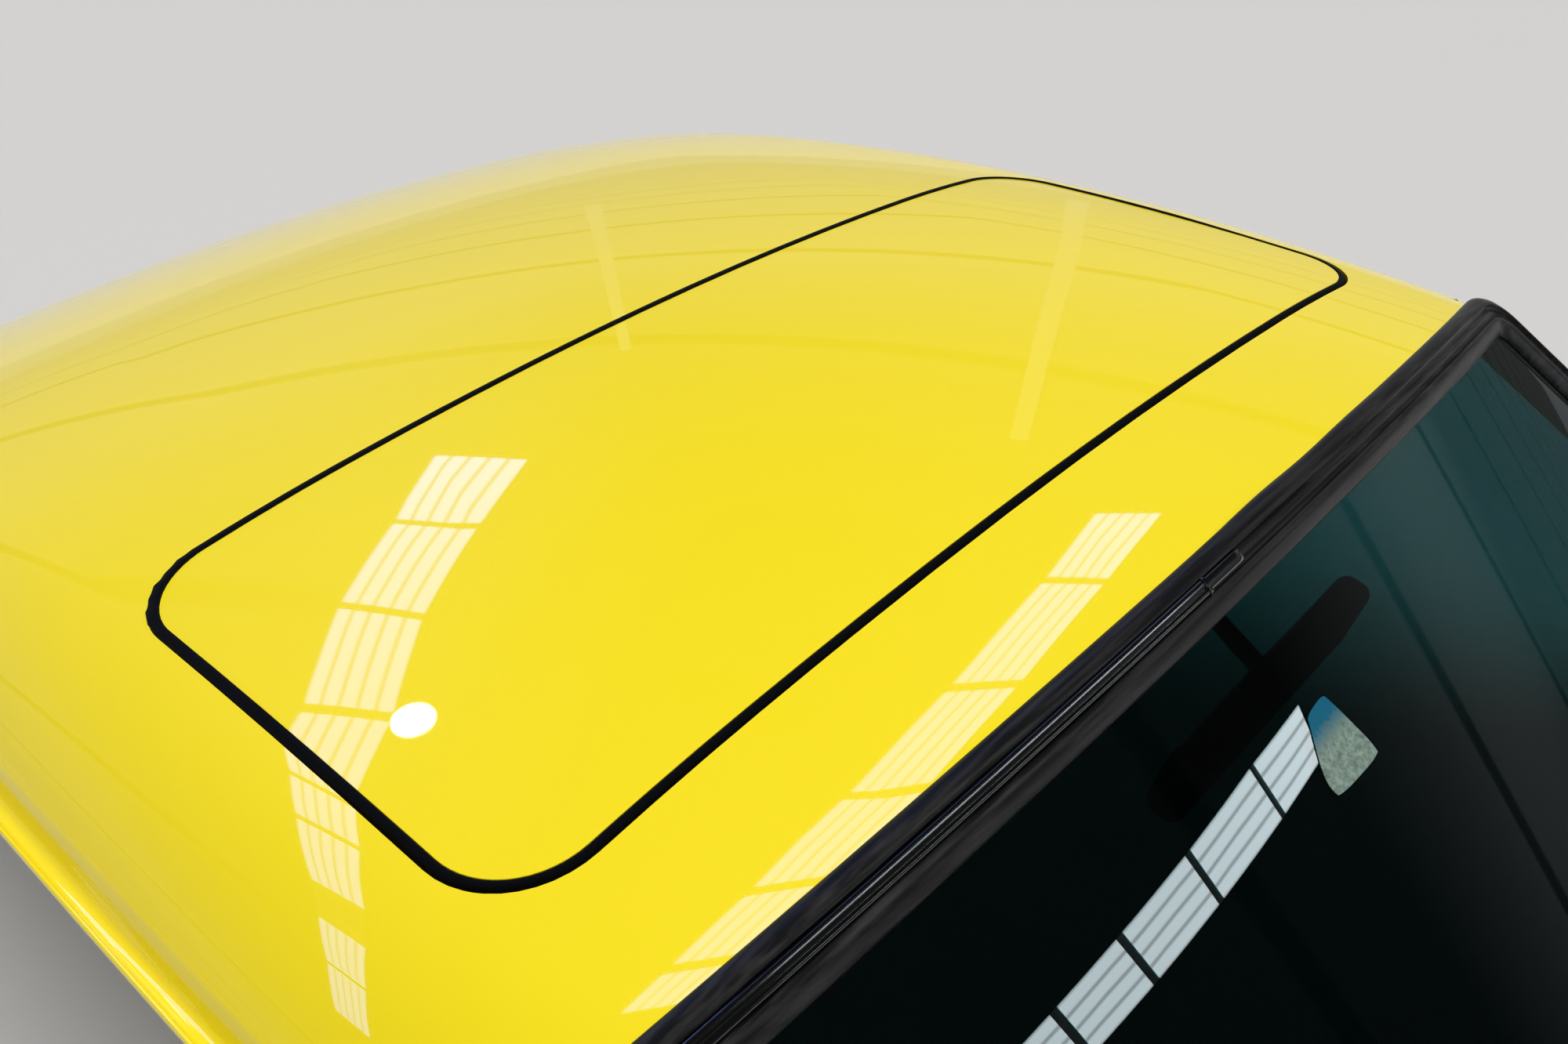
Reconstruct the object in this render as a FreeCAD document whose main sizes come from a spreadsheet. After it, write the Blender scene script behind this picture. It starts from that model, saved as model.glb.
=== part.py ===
"""Roof section of a coupe: the yellow steel roof with its tilting sunroof, the windscreen in its
rubber seal, the drip gutters and the pillar stubs, cut from the body at the scuttle and the pillars.

Frame: +Z up, +Y to the rear, +X to the car's left. The origin is on the middle of the scuttle's
underside, where the section sits on the body. Lengths are in millimetres and angles in degrees.
"""
import FreeCAD, Part
import Sketcher
import math
import os
from FreeCAD import Placement, Rotation, Vector

DRIVING_SIZES = [
    # alias, value, what it is
    ("roof_peak_y", 598.0, "highest point of the roof behind the origin"),
    ("roof_peak_z", 416.0, "height of that point over the scuttle's underside"),
    ("roof_line_radius", 3550.0, "radius of the roof line, seen from the side"),
    ("tail_start", 620.0, "where the roof line tightens, behind the peak"),
    ("tail_radius", 1800.0, "radius of the roof line there"),
    ("tail_length", 400.0, "length of that arc, before the straight fastback"),
    ("roof_half_width", 560.0, "skin edge at the gutter, at the widest place"),
    ("widest_y", 868.0, "where the roof is widest"),
    ("barrel", 0.058, "share of the width lost 800 mm from the widest place"),
    ("crown_radius", 3860.0, "radius of the middle of the roof, seen from the front"),
    ("shoulder_radius", 1607.0, "radius of the next stretch"),
    ("edge_radius", 170.0, "radius of the roll down to the gutter"),
    ("crown_share", 0.536, "share of the half width that has the crown's radius"),
    ("shoulder_share", 0.83, "share where the roll to the gutter starts"),
    ("roof_front_y", 360.0, "front end of the roof's own sections"),
    ("roof_rear_y", 1750.0, "cut through the rear pillars"),
    ("skin", 2.5, "thickness of the roof's skin"),
    ("sunroof_front_y", 518.0, "middle of the gap in front of the sunroof"),
    ("sunroof_length", 375.0, "sunroof, middle of the gap to middle of the gap"),
    ("sunroof_half_width", 462.0, "half of the sunroof's width to the middle of the gap"),
    ("sunroof_corner", 56.0, "corner radius of the sunroof at the middle of the gap"),
    ("sunroof_gap", 7.6, "gap between the sunroof's skin and the roof's"),
    ("seal_clearance", 1.7, "running clearance of the sunroof's seal"),
    ("seal_top", 0.8, "sunroof's seal below the skin"),
    ("seal_depth", 9.0, "depth of the sunroof's seal"),
    ("flange_depth", 16.0, "depth of the flange round the roof opening"),
    ("flange_sheet", 2.0, "sheet of that flange"),
    ("frame_setback", 6.0, "sunroof frame behind the panel's edge"),
    ("frame_band", 32.0, "width of the sunroof's inner frame"),
    ("frame_depth", 13.5, "depth of the sunroof's inner frame below its skin"),
    ("frame_sheet", 2.0, "sheet of the sunroof's inner frame"),
    ("board_sheet", 3.0, "sunroof's inner board"),
    ("board_inset", 22.0, "inner board inside the edge of the sunroof's frame"),
    ("tray_depth", 40.0, "depth of the cassette's floor"),
    ("tray_sheet", 2.0, "sheet of the cassette"),
    ("tray_half_width", 500.0, "half of the cassette's width"),
    ("tray_front", 34.0, "cassette in front of the sunroof gap"),
    ("tray_rear", 391.0, "cassette behind the sunroof, where the panel slides in"),
    ("tray_band", 34.0, "floor of the cassette inside the sunroof gap"),
    ("rail_top", 26.0, "top of the guide rails below the skin"),
    ("rail_middle_x", 453.0, "middle of a guide rail from the car's middle"),
    ("rail_wide", 24.0, "width of a guide rail"),
    ("rail_sheet", 2.0, "sheet of a guide rail"),
    ("lining_depth", 44.0, "depth of the headlining"),
    ("lining_sheet", 3.0, "thickness of the headlining"),
    ("lining_edge", 6.0, "headlining inside the roof's edge"),
    ("header_depth", 38.0, "depth of the front and rear headers"),
    ("header_sheet", 2.0, "sheet of the headers"),
    ("rear_header_wide", 70.0, "width of the rear header along the car"),
    ("bow_middle_y", 1400.0, "middle of the roof bow"),
    ("bow_wide", 60.0, "width of the roof bow"),
    ("bow_depth", 14.0, "depth of the roof bow"),
    ("side_rail_wide", 48.0, "width of the side rails"),
    ("gutter_step", 6.0, "gutter floor outside the skin's edge"),
    ("gutter_fall", 26.0, "depth of the gutter's floor below the skin's edge"),
    ("gutter_wide", 13.0, "width of the gutter's floor"),
    ("gutter_lip", 9.0, "height of the gutter's lip"),
    ("gutter_sheet", 2.0, "sheet of the gutter"),
    ("gutter_gap", 0.4, "gutter beside the skin's edge"),
    ("gutter_end_y", 1620.0, "rear end of the drip gutters"),
    ("screen_rake", 34.0, "angle of the windscreen to the floor"),
    ("screen_radius", 2800.0, "radius of the windscreen, across the car"),
    ("screen_top_y", 413.0, "top middle of the seal's outer edge"),
    ("screen_top_z", 410.5, "height of that point"),
    ("screen_top_half", 520.0, "half width of the seal's outline at the top"),
    ("screen_splay", 0.25, "how much the outline widens per unit of height"),
    ("screen_height", 560.0, "outline at the middle, along the rake"),
    ("screen_bow", 1703.0, "radius of the outline's lower edge"),
    ("screen_top_corner", 50.0, "upper corner radius"),
    ("screen_low_corner", 110.0, "lower corner radius"),
    ("seal_lap", 8.0, "seal's lip on the body"),
    ("pinch_depth", 14.0, "depth of the roof's flange in the windscreen seal"),
    ("seal_width", 44.0, "whole width of the windscreen seal"),
    ("glass_edge", 30.0, "glass edge inside the outline"),
    ("glass_thick", 5.5, "thickness of the windscreen"),
    ("seal_rise", 8.0, "seal above the glass"),
    ("seal_back", 11.0, "seal below the glass surface"),
    ("trim_offset", 16.0, "trim strip inside the seal's outline"),
    ("trim_width", 10.0, "width of the trim strip"),
    ("trim_root", 3.0, "depth of the trim strip in the seal"),
    ("trim_rise", 2.6, "trim strip above the seal"),
    ("trim_end_x", 48.0, "end of the trim strip from the car's middle"),
    ("clip_long", 40.0, "tongue of the joint clip past the trim's end"),
    ("clip_over", 1.2, "collar of the clip round the trim strip, and step down to its tongue"),
    ("clip_collar", 4.0, "length of that collar"),
    ("pillar_joint_y", 448.0, "joint of the roof and the windscreen pillars"),
    ("pillar_inset", 22.0, "inner edge of the pillar's own sections inside the seal's outline"),
    ("pillar_inset_low", 75.0, "the same at the foot"),
    ("pillar_foot_y", 10.0, "front end of the windscreen pillars' feet"),
    ("pillar_wide_low", 42.0, "pillar's face outside the seal's outline at its foot"),
    ("pillar_fall_low", 34.0, "fall of that face across the pillar"),
    ("pillar_bulge", 17.0, "bulge of that face"),
    ("pillar_deep", 34.0, "depth of the windscreen pillars"),
    ("scuttle_reach", 52.0, "scuttle in front of the seal's outline"),
    ("scuttle_rear_y", 78.0, "rear ends of the scuttle beside the pillars"),
    ("scuttle_ledge", 34.0, "scuttle's ledge under the windscreen seal"),
    ("door_pillar_y", 1005.0, "middle of the door pillars"),
    ("door_pillar_long", 54.0, "length of a door pillar along the car"),
    ("door_pillar_wide", 34.0, "width of a door pillar across the car"),
    ("door_pillar_drop", 150.0, "length of the door pillar stubs"),
    ("door_pillar_lean", 12.0, "lean of the door pillars outwards"),
    ("pillar_sheet", 2.5, "sheet of the door pillars"),
    ("rear_window_y", 1600.0, "top edge of the rear window opening"),
    ("rear_window_half", 400.0, "half of that opening's width"),
    ("rear_window_corner", 90.0, "corner radius of that opening"),
    ("rear_pillar_y", 1480.0, "front end of the rear pillars"),
    ("rear_pillar_depth", 44.0, "depth of the rear pillars below the skin"),
    ("tilt_axis_back", 8.0, "tilt axis behind the sunroof's front gap"),
    ("tilt_axis_depth", 16.0, "tilt axis below the roof, at the middle"),
    ("tilt_travel", 4.5, "tilt of the sunroof"),
    ("tilt_pin", 4.0, "diameter of the pins of the sunroof's gear"),
    ("tilt_pin_back", 24.0, "front pins behind the sunroof's front gap"),
    ("tilt_pin_depth", 29.0, "front pins below the skin"),
    ("pin_clearance", 0.4, "clearance round the pins in their slots"),
    ("pin_edge", 2.4, "metal round a pin's hole or slot"),
    ("bracket_x", 432.0, "inner face of the sunroof's brackets from the car's middle"),
    ("bracket_sheet", 3.0, "sheet of the sunroof's brackets"),
    ("bracket_long", 26.0, "length of the sunroof's front brackets"),
    ("link_gap", 1.0, "side gap between a bracket and what its pin runs in"),
    ("link_sheet", 3.0, "sheet of the front shoes and the lift arms"),
    ("shoe_long", 34.0, "length of a shoe in its rail"),
    ("shoe_wide", 18.0, "width of a shoe in its rail"),
    ("shoe_fit", 0.3, "clearance round a shoe in its rail"),
    ("lift_back", 60.0, "pivots of the lift arms in front of the sunroof's rear gap"),
    ("lift_depth", 32.0, "pivots of the lift arms below the skin"),
    ("lift_long", 40.0, "length of a lift arm, pin to pin"),
    ("lift_rest", 8.0, "rise of a lift arm at rest"),
    ("lift_swing", 44.5, "swing of a lift arm over the sunroof's tilt"),
    ("lift_slack", 1.4, "height of play in the rear brackets' slots"),
    ("visor_long", 350.0, "length of a sun visor"),
    ("visor_wide", 108.0, "width of a sun visor"),
    ("visor_thick", 15.0, "thickness of a sun visor"),
    ("visor_round", 6.0, "rounding of a sun visor"),
    ("visor_middle_x", 245.0, "middle of a visor from the car's middle"),
    ("visor_axis_y", 454.0, "pivot line of the visors"),
    ("visor_drop", 88.0, "pivot line of the visors below the roof's middle"),
    ("visor_rod", 6.0, "diameter of a visor's rod"),
    ("visor_gap", 0.3, "clearance round a visor's rod"),
    ("visor_post", 10.0, "thickness of the posts of a visor's rod"),
    ("visor_side_gap", 5.0, "gap between a visor and its posts"),
    ("mirror_wide", 230.0, "width of the mirror"),
    ("mirror_high", 56.0, "height of the mirror"),
    ("mirror_deep", 24.0, "depth of the mirror"),
    ("mirror_round", 9.0, "rounding of the mirror"),
    ("mirror_y", 375.0, "middle of the mirror"),
    ("mirror_z", 312.0, "height of the mirror's middle"),
    ("mirror_tilt", 12.0, "tilt of the mirror downwards"),
    ("stalk_thick", 12.0, "diameter of the mirror's stalk"),
    ("stalk_y", 452.0, "foot of the mirror's stalk on the front header"),
    ("lamp_long", 110.0, "length of the roof lamp"),
    ("lamp_wide", 56.0, "width of the roof lamp"),
    ("lamp_deep", 16.0, "depth of the roof lamp"),
    ("lamp_round", 5.0, "rounding of the roof lamp"),
    ("lamp_seat", 0.6, "room for the headlining's curve over the flat lamp"),
    ("lamp_y", 1100.0, "middle of the roof lamp"),
    ("reach_past", 200.0, "how far cutting tools reach past the part"),
]

STATIONS = (-158.0, 20.0, 200.0, 400.0, 612.0, 770.0, 920.0, 1080.0, 1240.0)

doc = FreeCAD.newDocument("coupe_roof")
sheet = doc.addObject("Spreadsheet::Sheet", "sizes")
for row, (alias, value, meaning) in enumerate(DRIVING_SIZES, start=1):
    sheet.set("A%d" % row, alias)
    sheet.set("B%d" % row, str(value))
    sheet.setAlias("B%d" % row, alias)
    sheet.set("C%d" % row, meaning)
doc.recompute()

pieces = []


def size(alias):
    return float(getattr(sheet, alias))


def keep(label, shape):
    """A finished piece: its largest solid, since cuts along curved skins can leave slivers."""
    piece = doc.addObject("Part::Feature", label)
    piece.Label = label
    piece.Shape = max(shape.Solids, key=lambda solid: solid.Volume)
    pieces.append(piece)
    return piece


def mirrored(shape):
    return shape.mirror(Vector(0, 0, 0), Vector(1, 0, 0))


def pair(name, left_shape):
    left = keep(name + "_left", left_shape)
    return left, keep(name + "_right", mirrored(left.Shape))


# Roof surface

peak_y, peak_z = size("roof_peak_y"), size("roof_peak_z")
line_r, tail_r = size("roof_line_radius"), size("tail_radius")
tail_from = size("tail_start")
tail_to = tail_from + size("tail_length")
roof_front, roof_rear = size("roof_front_y"), size("roof_rear_y")
hole_front = size("sunroof_front_y")
hole_rear = hole_front + size("sunroof_length")


def crown_z(y):
    """Height of the roof's middle line: two tangent arcs and a straight fastback."""
    run = y - peak_y
    if run <= tail_from:
        return peak_z - line_r + math.sqrt(line_r ** 2 - run ** 2)
    turn = math.asin(tail_from / line_r)
    centre_run = tail_from - tail_r * math.sin(turn)
    start_z = peak_z - line_r + math.sqrt(line_r ** 2 - tail_from ** 2)
    centre_z = start_z - tail_r * math.cos(turn)
    if run <= tail_to:
        return centre_z + math.sqrt(tail_r ** 2 - (run - centre_run) ** 2)
    end_turn = math.asin((tail_to - centre_run) / tail_r)
    end_z = centre_z + tail_r * math.cos(end_turn)
    return end_z - (run - tail_to) * math.tan(end_turn)


def half_width(y):
    return size("roof_half_width") * (1 - size("barrel") * ((y - size("widest_y")) / 800.0) ** 2)


def section_arcs(y, depth=0.0):
    """Centre x, centre z, radius and end angles of the three arcs from the middle to the left edge."""
    w = half_width(y)
    arcs = []
    centre_x, centre_z = 0.0, crown_z(y) - size("crown_radius")
    radius, angle, x = size("crown_radius"), 0.0, 0.0
    ends = (size("crown_share") * w, size("shoulder_share") * w, w)
    radii = (size("crown_radius"), size("shoulder_radius"), size("edge_radius"))
    for end, r in zip(ends, radii):
        centre_x += (radius - r) * math.sin(angle)
        centre_z += (radius - r) * math.cos(angle)
        turned = math.asin(math.sin(angle) + (end - x) / r)
        arcs.append((centre_x, centre_z, r - depth, angle, turned))
        radius, angle, x = r, turned, end
    return arcs


def on_arc(arc, angle, y):
    return Vector(arc[0] + arc[2] * math.sin(angle), y, arc[1] + arc[2] * math.cos(angle))


def roof_point(x, y, depth=0.0):
    """Point below the roof's surface at the plan point, at a depth along the section's normal."""
    arcs = section_arcs(y)
    for arc in arcs:
        if x <= arc[0] + arc[2] * math.sin(arc[4]) + 1e-6:
            break
    angle = math.asin((x - arc[0]) / arc[2])
    return on_arc((arc[0], arc[1], arc[2] - depth), angle, y)


def edge_point(y, depth=0.0):
    arc = section_arcs(y, depth)[-1]
    return on_arc(arc, arc[4], y)


def flipped(point):
    return Vector(-point.x, point.y, point.z)


def arc_through(a, b, c):
    return Part.Arc(a, b, c).toShape()


def section_edges(y, depth):
    """The five arcs of a roof section, from the right edge to the left one."""
    thirds = []
    for arc in section_arcs(y, depth):
        thirds.append([on_arc(arc, a, y) for a in (arc[3], (arc[3] + arc[4]) / 2, arc[4])])
    middle = thirds[0]
    edges = [arc_through(*[flipped(p) for p in reversed(third)]) for third in reversed(thirds[1:])]
    edges.append(arc_through(flipped(middle[2]), middle[0], middle[2]))
    edges += [arc_through(*third) for third in thirds[1:]]
    return edges


layers = {}


def layer(top, bottom):
    """The roof between two depths below its surface, over its whole length and width."""
    if (top, bottom) in layers:
        return layers[top, bottom]
    wires = []
    for run in STATIONS:
        y = min(max(hole_front + run, roof_front), roof_rear)
        upper, lower = section_edges(y, top), section_edges(y, bottom)
        left = Part.makeLine(edge_point(y, top), edge_point(y, bottom))
        right = Part.makeLine(flipped(edge_point(y, bottom)), flipped(edge_point(y, top)))
        wires.append(Part.Wire(upper + [left] + lower[::-1] + [right]))
    layers[top, bottom] = Part.makeLoft(wires, True, False)
    return layers[top, bottom]


# Plan regions, as upright prisms

low_z, high_z = -size("reach_past"), peak_z + size("reach_past")


def upright(wire):
    return Part.Face(wire).extrude(Vector(0, 0, high_z - low_z))


def plan_box(x0, x1, y0, y1):
    return Part.makeBox(x1 - x0, y1 - y0, high_z - low_z, Vector(x0, y0, low_z))


def plan_rounded(half, y0, y1, corner):
    """Rectangle with round corners, centred on the car's middle."""
    box = plan_box(-half, half, y0, y1)
    posts = [edge for edge in box.Edges if abs(edge.tangentAt(edge.FirstParameter).z) > 0.99]
    return box.makeFillet(corner, posts)


def sunroof_region(grow):
    """The sunroof's outline in plan, grown outwards from the middle of its gap."""
    corner = max(size("sunroof_corner") + grow, 4.0)
    return plan_rounded(size("sunroof_half_width") + grow, hole_front - grow, hole_rear + grow, corner)


def side_strip(inner, outer, y0, y1):
    """Strip along the left edge, between two distances inside the skin's edge."""
    middle = (y0 + y1) / 2
    edges = []
    rows = []
    for inset in (inner, outer):
        rows.append([Vector(half_width(y) - inset, y, low_z) for y in (y0, middle, y1)])
    first, second = rows
    edges.append(arc_through(*first))
    edges.append(Part.makeLine(first[2], second[2]))
    edges.append(arc_through(*reversed(second)))
    edges.append(Part.makeLine(second[0], first[0]))
    return upright(Part.Wire(edges))


# Windscreen surface: a cylinder across the car, laid back by its rake

screen_place = Placement(
    Vector(0, size("screen_top_y"), size("screen_top_z")),
    Rotation(Vector(1, 0, 0), size("screen_rake")),
)
screen_r = size("screen_radius")
splay = size("screen_splay")


def outline(inset):
    """Windscreen outline in its own plane, with its corners, moved inwards from the seal's edge."""
    slant = math.hypot(1.0, splay)
    down = Vector(splay / slant, -1.0 / slant, 0)
    inward = Vector(-1.0 / slant, -splay / slant, 0)
    side = Vector(size("screen_top_half"), 0, 0) + inward * inset
    r_top = max(size("screen_top_corner") - inset, 3.0)
    r_low = max(size("screen_low_corner") - inset, 3.0)
    run = (-inset - r_top - (side + inward * r_top).y) / down.y
    top_centre = side + inward * r_top + down * run
    bow_r = size("screen_bow") - inset
    bow_centre = Vector(0, size("screen_bow") - size("screen_height"), 0)
    start = side + inward * r_low - bow_centre
    along = start.dot(down)
    run = -along + math.sqrt(along ** 2 - start.dot(start) + (bow_r - r_low) ** 2)
    low_centre = side + inward * r_low + down * run
    out_low = (low_centre - bow_centre).normalize()
    corner_top = top_centre + Vector(0, r_top, 0)
    corner_side = top_centre - inward * r_top
    low_side = low_centre - inward * r_low
    low_bow = low_centre + out_low * r_low
    mid_top = top_centre + (Vector(0, 1, 0) - inward).normalize() * r_top
    mid_low = low_centre + (out_low - inward).normalize() * r_low
    bottom = bow_centre + Vector(0, -bow_r, 0)
    return Part.Wire([
        Part.makeLine(flipped(corner_top), corner_top),
        arc_through(corner_top, mid_top, corner_side),
        Part.makeLine(corner_side, low_side),
        arc_through(low_side, mid_low, low_bow),
        arc_through(low_bow, bottom, flipped(low_bow)),
        arc_through(flipped(low_bow), flipped(mid_low), flipped(low_side)),
        Part.makeLine(flipped(low_side), flipped(corner_side)),
        arc_through(flipped(corner_side), flipped(mid_top), flipped(corner_top)),
    ])


def screen_region(inset):
    """Everything in front of and behind the windscreen inside its outline, square to its plane."""
    reach = size("reach_past")
    prism = Part.Face(outline(inset)).extrude(Vector(0, 0, 2 * reach))
    prism.Placement = screen_place.multiply(Placement(Vector(0, 0, -reach), Rotation()))
    return prism


def screen_layer(low, high):
    """Between two heights over the windscreen's outer surface."""
    reach = size("reach_past")
    half = size("roof_half_width") + reach
    rows = []
    for rise in (low, high):
        r = screen_r + rise
        turn = math.asin(half / r)
        angles = (-turn, 0, turn)
        rows.append([Vector(r * math.sin(a), -3.5 * reach, r * math.cos(a) - screen_r) for a in angles])
    under, over = rows
    wire = Part.Wire([
        arc_through(*under),
        Part.makeLine(under[2], over[2]),
        arc_through(*reversed(over)),
        Part.makeLine(over[0], under[0]),
    ])
    slab = Part.Face(wire).extrude(Vector(0, 4 * reach, 0))
    slab.Placement = screen_place
    return slab


def screen_point(y, inset, rise):
    """Point of the outline's left side at a distance behind the origin."""
    slant = math.hypot(1.0, splay)
    low, high = -size("screen_height"), size("reach_past")
    for _ in range(60):
        run = (low + high) / 2
        u = size("screen_top_half") - inset / slant - splay * (run + inset * splay / slant)
        point = screen_place.multVec(Vector(u, run, rise - screen_r + math.sqrt(screen_r ** 2 - u ** 2)))
        if point.y < y:
            low = run
        else:
            high = run
    return point


# Roof skin, with its flanges at the sunroof and at the windscreen

skin = size("skin")
gap = size("sunroof_gap")
screen_hole = screen_region(size("seal_lap"))
rear_hole = plan_rounded(size("rear_window_half"), size("rear_window_y"), roof_rear + size("reach_past"),
                         size("rear_window_corner"))
joint_cut = plan_box(480, 800, roof_front - 50, size("pillar_joint_y"))
joint_cut = joint_cut.fuse(mirrored(joint_cut))
opening = sunroof_region(gap / 2)
roof_sheet = layer(0, skin).cut(screen_hole).cut(joint_cut).cut(rear_hole).cut(opening)
flange_region = sunroof_region(gap / 2 + size("flange_sheet"))
hole_flange = layer(0, size("flange_depth")).common(flange_region).cut(opening)
pinch_band = screen_hole.common(plan_box(-470, 470, roof_front, hole_front))
pinch_band = pinch_band.cut(screen_region(size("seal_lap") + skin))
pinch = layer(0, size("pinch_depth")).common(pinch_band)
roof_skin = keep("roof_skin", roof_sheet.fuse([hole_flange, pinch]).removeSplitter())

# Front header, side rails, roof bow, rear header and rear pillars

rail_inner = size("side_rail_wide")
tray_front_y = hole_front - size("tray_front")
lap = 2 * size("header_sheet")
header_half = half_width(tray_front_y) - rail_inner - 1
header_block = plan_box(-header_half, header_half, roof_front, tray_front_y).cut(screen_hole)
header_core = plan_box(-header_half + lap, header_half - lap, roof_front, tray_front_y - size("header_sheet"))
header_core = header_core.cut(screen_region(size("seal_lap") - size("header_sheet") * 1.5))
header = layer(skin, size("header_depth")).common(header_block)
header_space = layer(skin - 1, size("header_depth") - size("header_sheet")).common(header_core)
front_header = keep("front_header", header.cut(header_space))

side = layer(skin, size("lining_depth")).common(
    side_strip(rail_inner, -5, size("pillar_joint_y"), size("rear_pillar_y")))
side_core = layer(skin + 2, size("lining_depth") - 2).common(
    side_strip(rail_inner - 3, 12, size("pillar_joint_y") - 1, size("rear_pillar_y") + 1))
pair("side_rail", side.cut(side_core))

bow_y = size("bow_middle_y")
bow_half = half_width(bow_y + size("bow_wide")) - rail_inner - 2
bow = layer(skin, size("bow_depth")).common(
    plan_box(-bow_half, bow_half, bow_y - size("bow_wide") / 2, bow_y + size("bow_wide") / 2))
bow_core = layer(skin - 1, size("bow_depth") - 2).common(
    plan_box(20 - bow_half, bow_half - 20, bow_y - size("bow_wide") / 2 + 12, bow_y + size("bow_wide") / 2 - 12))
keep("roof_bow", bow.cut(bow_core))

window_y = size("rear_window_y")
rear_half = size("rear_window_half")
rear_header = layer(skin, size("header_depth")).common(
    plan_box(-rear_half, rear_half, window_y - size("rear_header_wide"), window_y + 60).cut(rear_hole))
rear_core = layer(skin - 1, size("header_depth") - 2).common(
    plan_box(-rear_half + 4, rear_half - 4, window_y - size("rear_header_wide") + 2, window_y - 2))
keep("rear_header", rear_header.cut(rear_core))

rear_pillar = layer(skin, size("rear_pillar_depth")).common(
    plan_box(rear_half, 700, size("rear_pillar_y"), roof_rear).cut(rear_hole))
rear_pillar_core = layer(skin + 2, size("rear_pillar_depth") - 2).common(
    plan_box(rear_half + 3, half_width(roof_rear) - 20, size("rear_pillar_y") + 3, roof_rear + 1))
pair("rear_pillar", rear_pillar.cut(rear_pillar_core))

# Windscreen pillars

joint_y, foot_y = size("pillar_joint_y"), size("pillar_foot_y")


def pillar_corners(y):
    """Inner edge, middle and outer edge of a windscreen pillar's face."""
    share = (joint_y - y) / (joint_y - foot_y)
    top_inset, low_inset = size("pillar_inset"), size("pillar_inset_low")
    at_joint = screen_point(joint_y, top_inset, 0)
    top_inner = roof_point(at_joint.x, joint_y)
    top_outer = edge_point(joint_y)
    rise = (top_inner - at_joint).z
    inner = screen_point(y, top_inset * (1 - share) + low_inset * share, 0) + Vector(0, 0, rise * (1 - share))
    top_reach = top_outer - screen_point(joint_y, 0, 0)
    low_reach = Vector(size("pillar_wide_low"), 0, -size("pillar_fall_low"))
    outer = screen_point(y, 0, 0) + top_reach * (1 - share) + low_reach * share
    top_middle = roof_point((top_inner.x + top_outer.x) / 2, joint_y)
    top_bulge = (top_middle - (top_inner + top_outer) / 2).z
    bulge = top_bulge * (1 - share) + size("pillar_bulge") * share
    middle = (inner + outer) / 2 + Vector(bulge * 0.6 * share, 0, bulge)
    return inner, middle, outer


def pillar_wire(y, inset, deep):
    inner, middle, outer = pillar_corners(y)
    inward = Vector(inset * 0.6, 0, -inset)
    inner, middle, outer = [p + inward for p in (inner, middle, outer)]
    outer += Vector(-1.6 * inset, 0, 0)
    low_outer = outer + Vector(-10, 0, -deep * 0.5)
    low_inner = inner + Vector(4, 0, -deep)
    return Part.Wire([
        arc_through(inner, middle, outer),
        Part.makeLine(outer, low_outer),
        Part.makeLine(low_outer, low_inner),
        Part.makeLine(low_inner, inner),
    ])


PILLAR_STEPS = (0.0, 0.34, 0.67, 1.0)
pillar_ys = [joint_y + (foot_y - joint_y) * step for step in PILLAR_STEPS]
pillar_outer = Part.makeLoft([pillar_wire(y, 0, size("pillar_deep")) for y in pillar_ys], True, False)
above_base = Part.makeBox(2000, 3000, 1000, Vector(-1000, -1000, 0))
pillar_outer = pillar_outer.cut([screen_hole, front_header.Shape, roof_skin.Shape])
windscreen_pillar = pair("windscreen_pillar", pillar_outer.common(above_base))

# Scuttle bar under the windscreen

reach = size("scuttle_reach")
scuttle_band = screen_region(-reach).cut(screen_hole)
scuttle_top = screen_layer(-180, 2).common(scuttle_band)
ledge = screen_layer(-180, -size("seal_back")).common(screen_hole.cut(screen_region(size("scuttle_ledge"))))
scuttle_area = plan_box(-800, 800, -600, size("scuttle_rear_y"))
scuttle = scuttle_top.fuse(ledge).common(scuttle_area).common(above_base)
for foot in windscreen_pillar:
    scuttle = scuttle.cut(foot.Shape)
scuttle = keep("scuttle", scuttle.removeSplitter())

# Drip gutters, down the pillars and along the roof


def gutter_wire(root):
    step, fall = size("gutter_step"), size("gutter_fall")
    wide, lip, sheet_t = size("gutter_wide"), size("gutter_lip"), size("gutter_sheet")
    root = root + Vector(sheet_t + size("gutter_gap"), 0, 0)
    points = [
        root,
        root + Vector(step, 0, -fall),
        root + Vector(step + wide, 0, -fall - 3),
        root + Vector(step + wide + 2, 0, -fall - 3 + lip),
        root + Vector(step + wide + 2 + sheet_t, 0, -fall - 3 + lip),
        root + Vector(step + wide + sheet_t, 0, -fall - 3 - sheet_t),
        root + Vector(step - sheet_t, 0, -fall - sheet_t),
        root + Vector(-sheet_t, 0, 0),
    ]
    return Part.makePolygon(points + points[:1])


roof_ys = [joint_y] + [hole_front + run for run in STATIONS[1:-2]] + [size("gutter_end_y")]
pillar_gutter = Part.makeLoft([gutter_wire(pillar_corners(y)[2]) for y in pillar_ys], True, False)
roof_gutter = Part.makeLoft([gutter_wire(edge_point(y)) for y in roof_ys], True, False)
pair("drip_gutter", roof_gutter.fuse(pillar_gutter).common(above_base))

# Door pillar stubs

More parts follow.
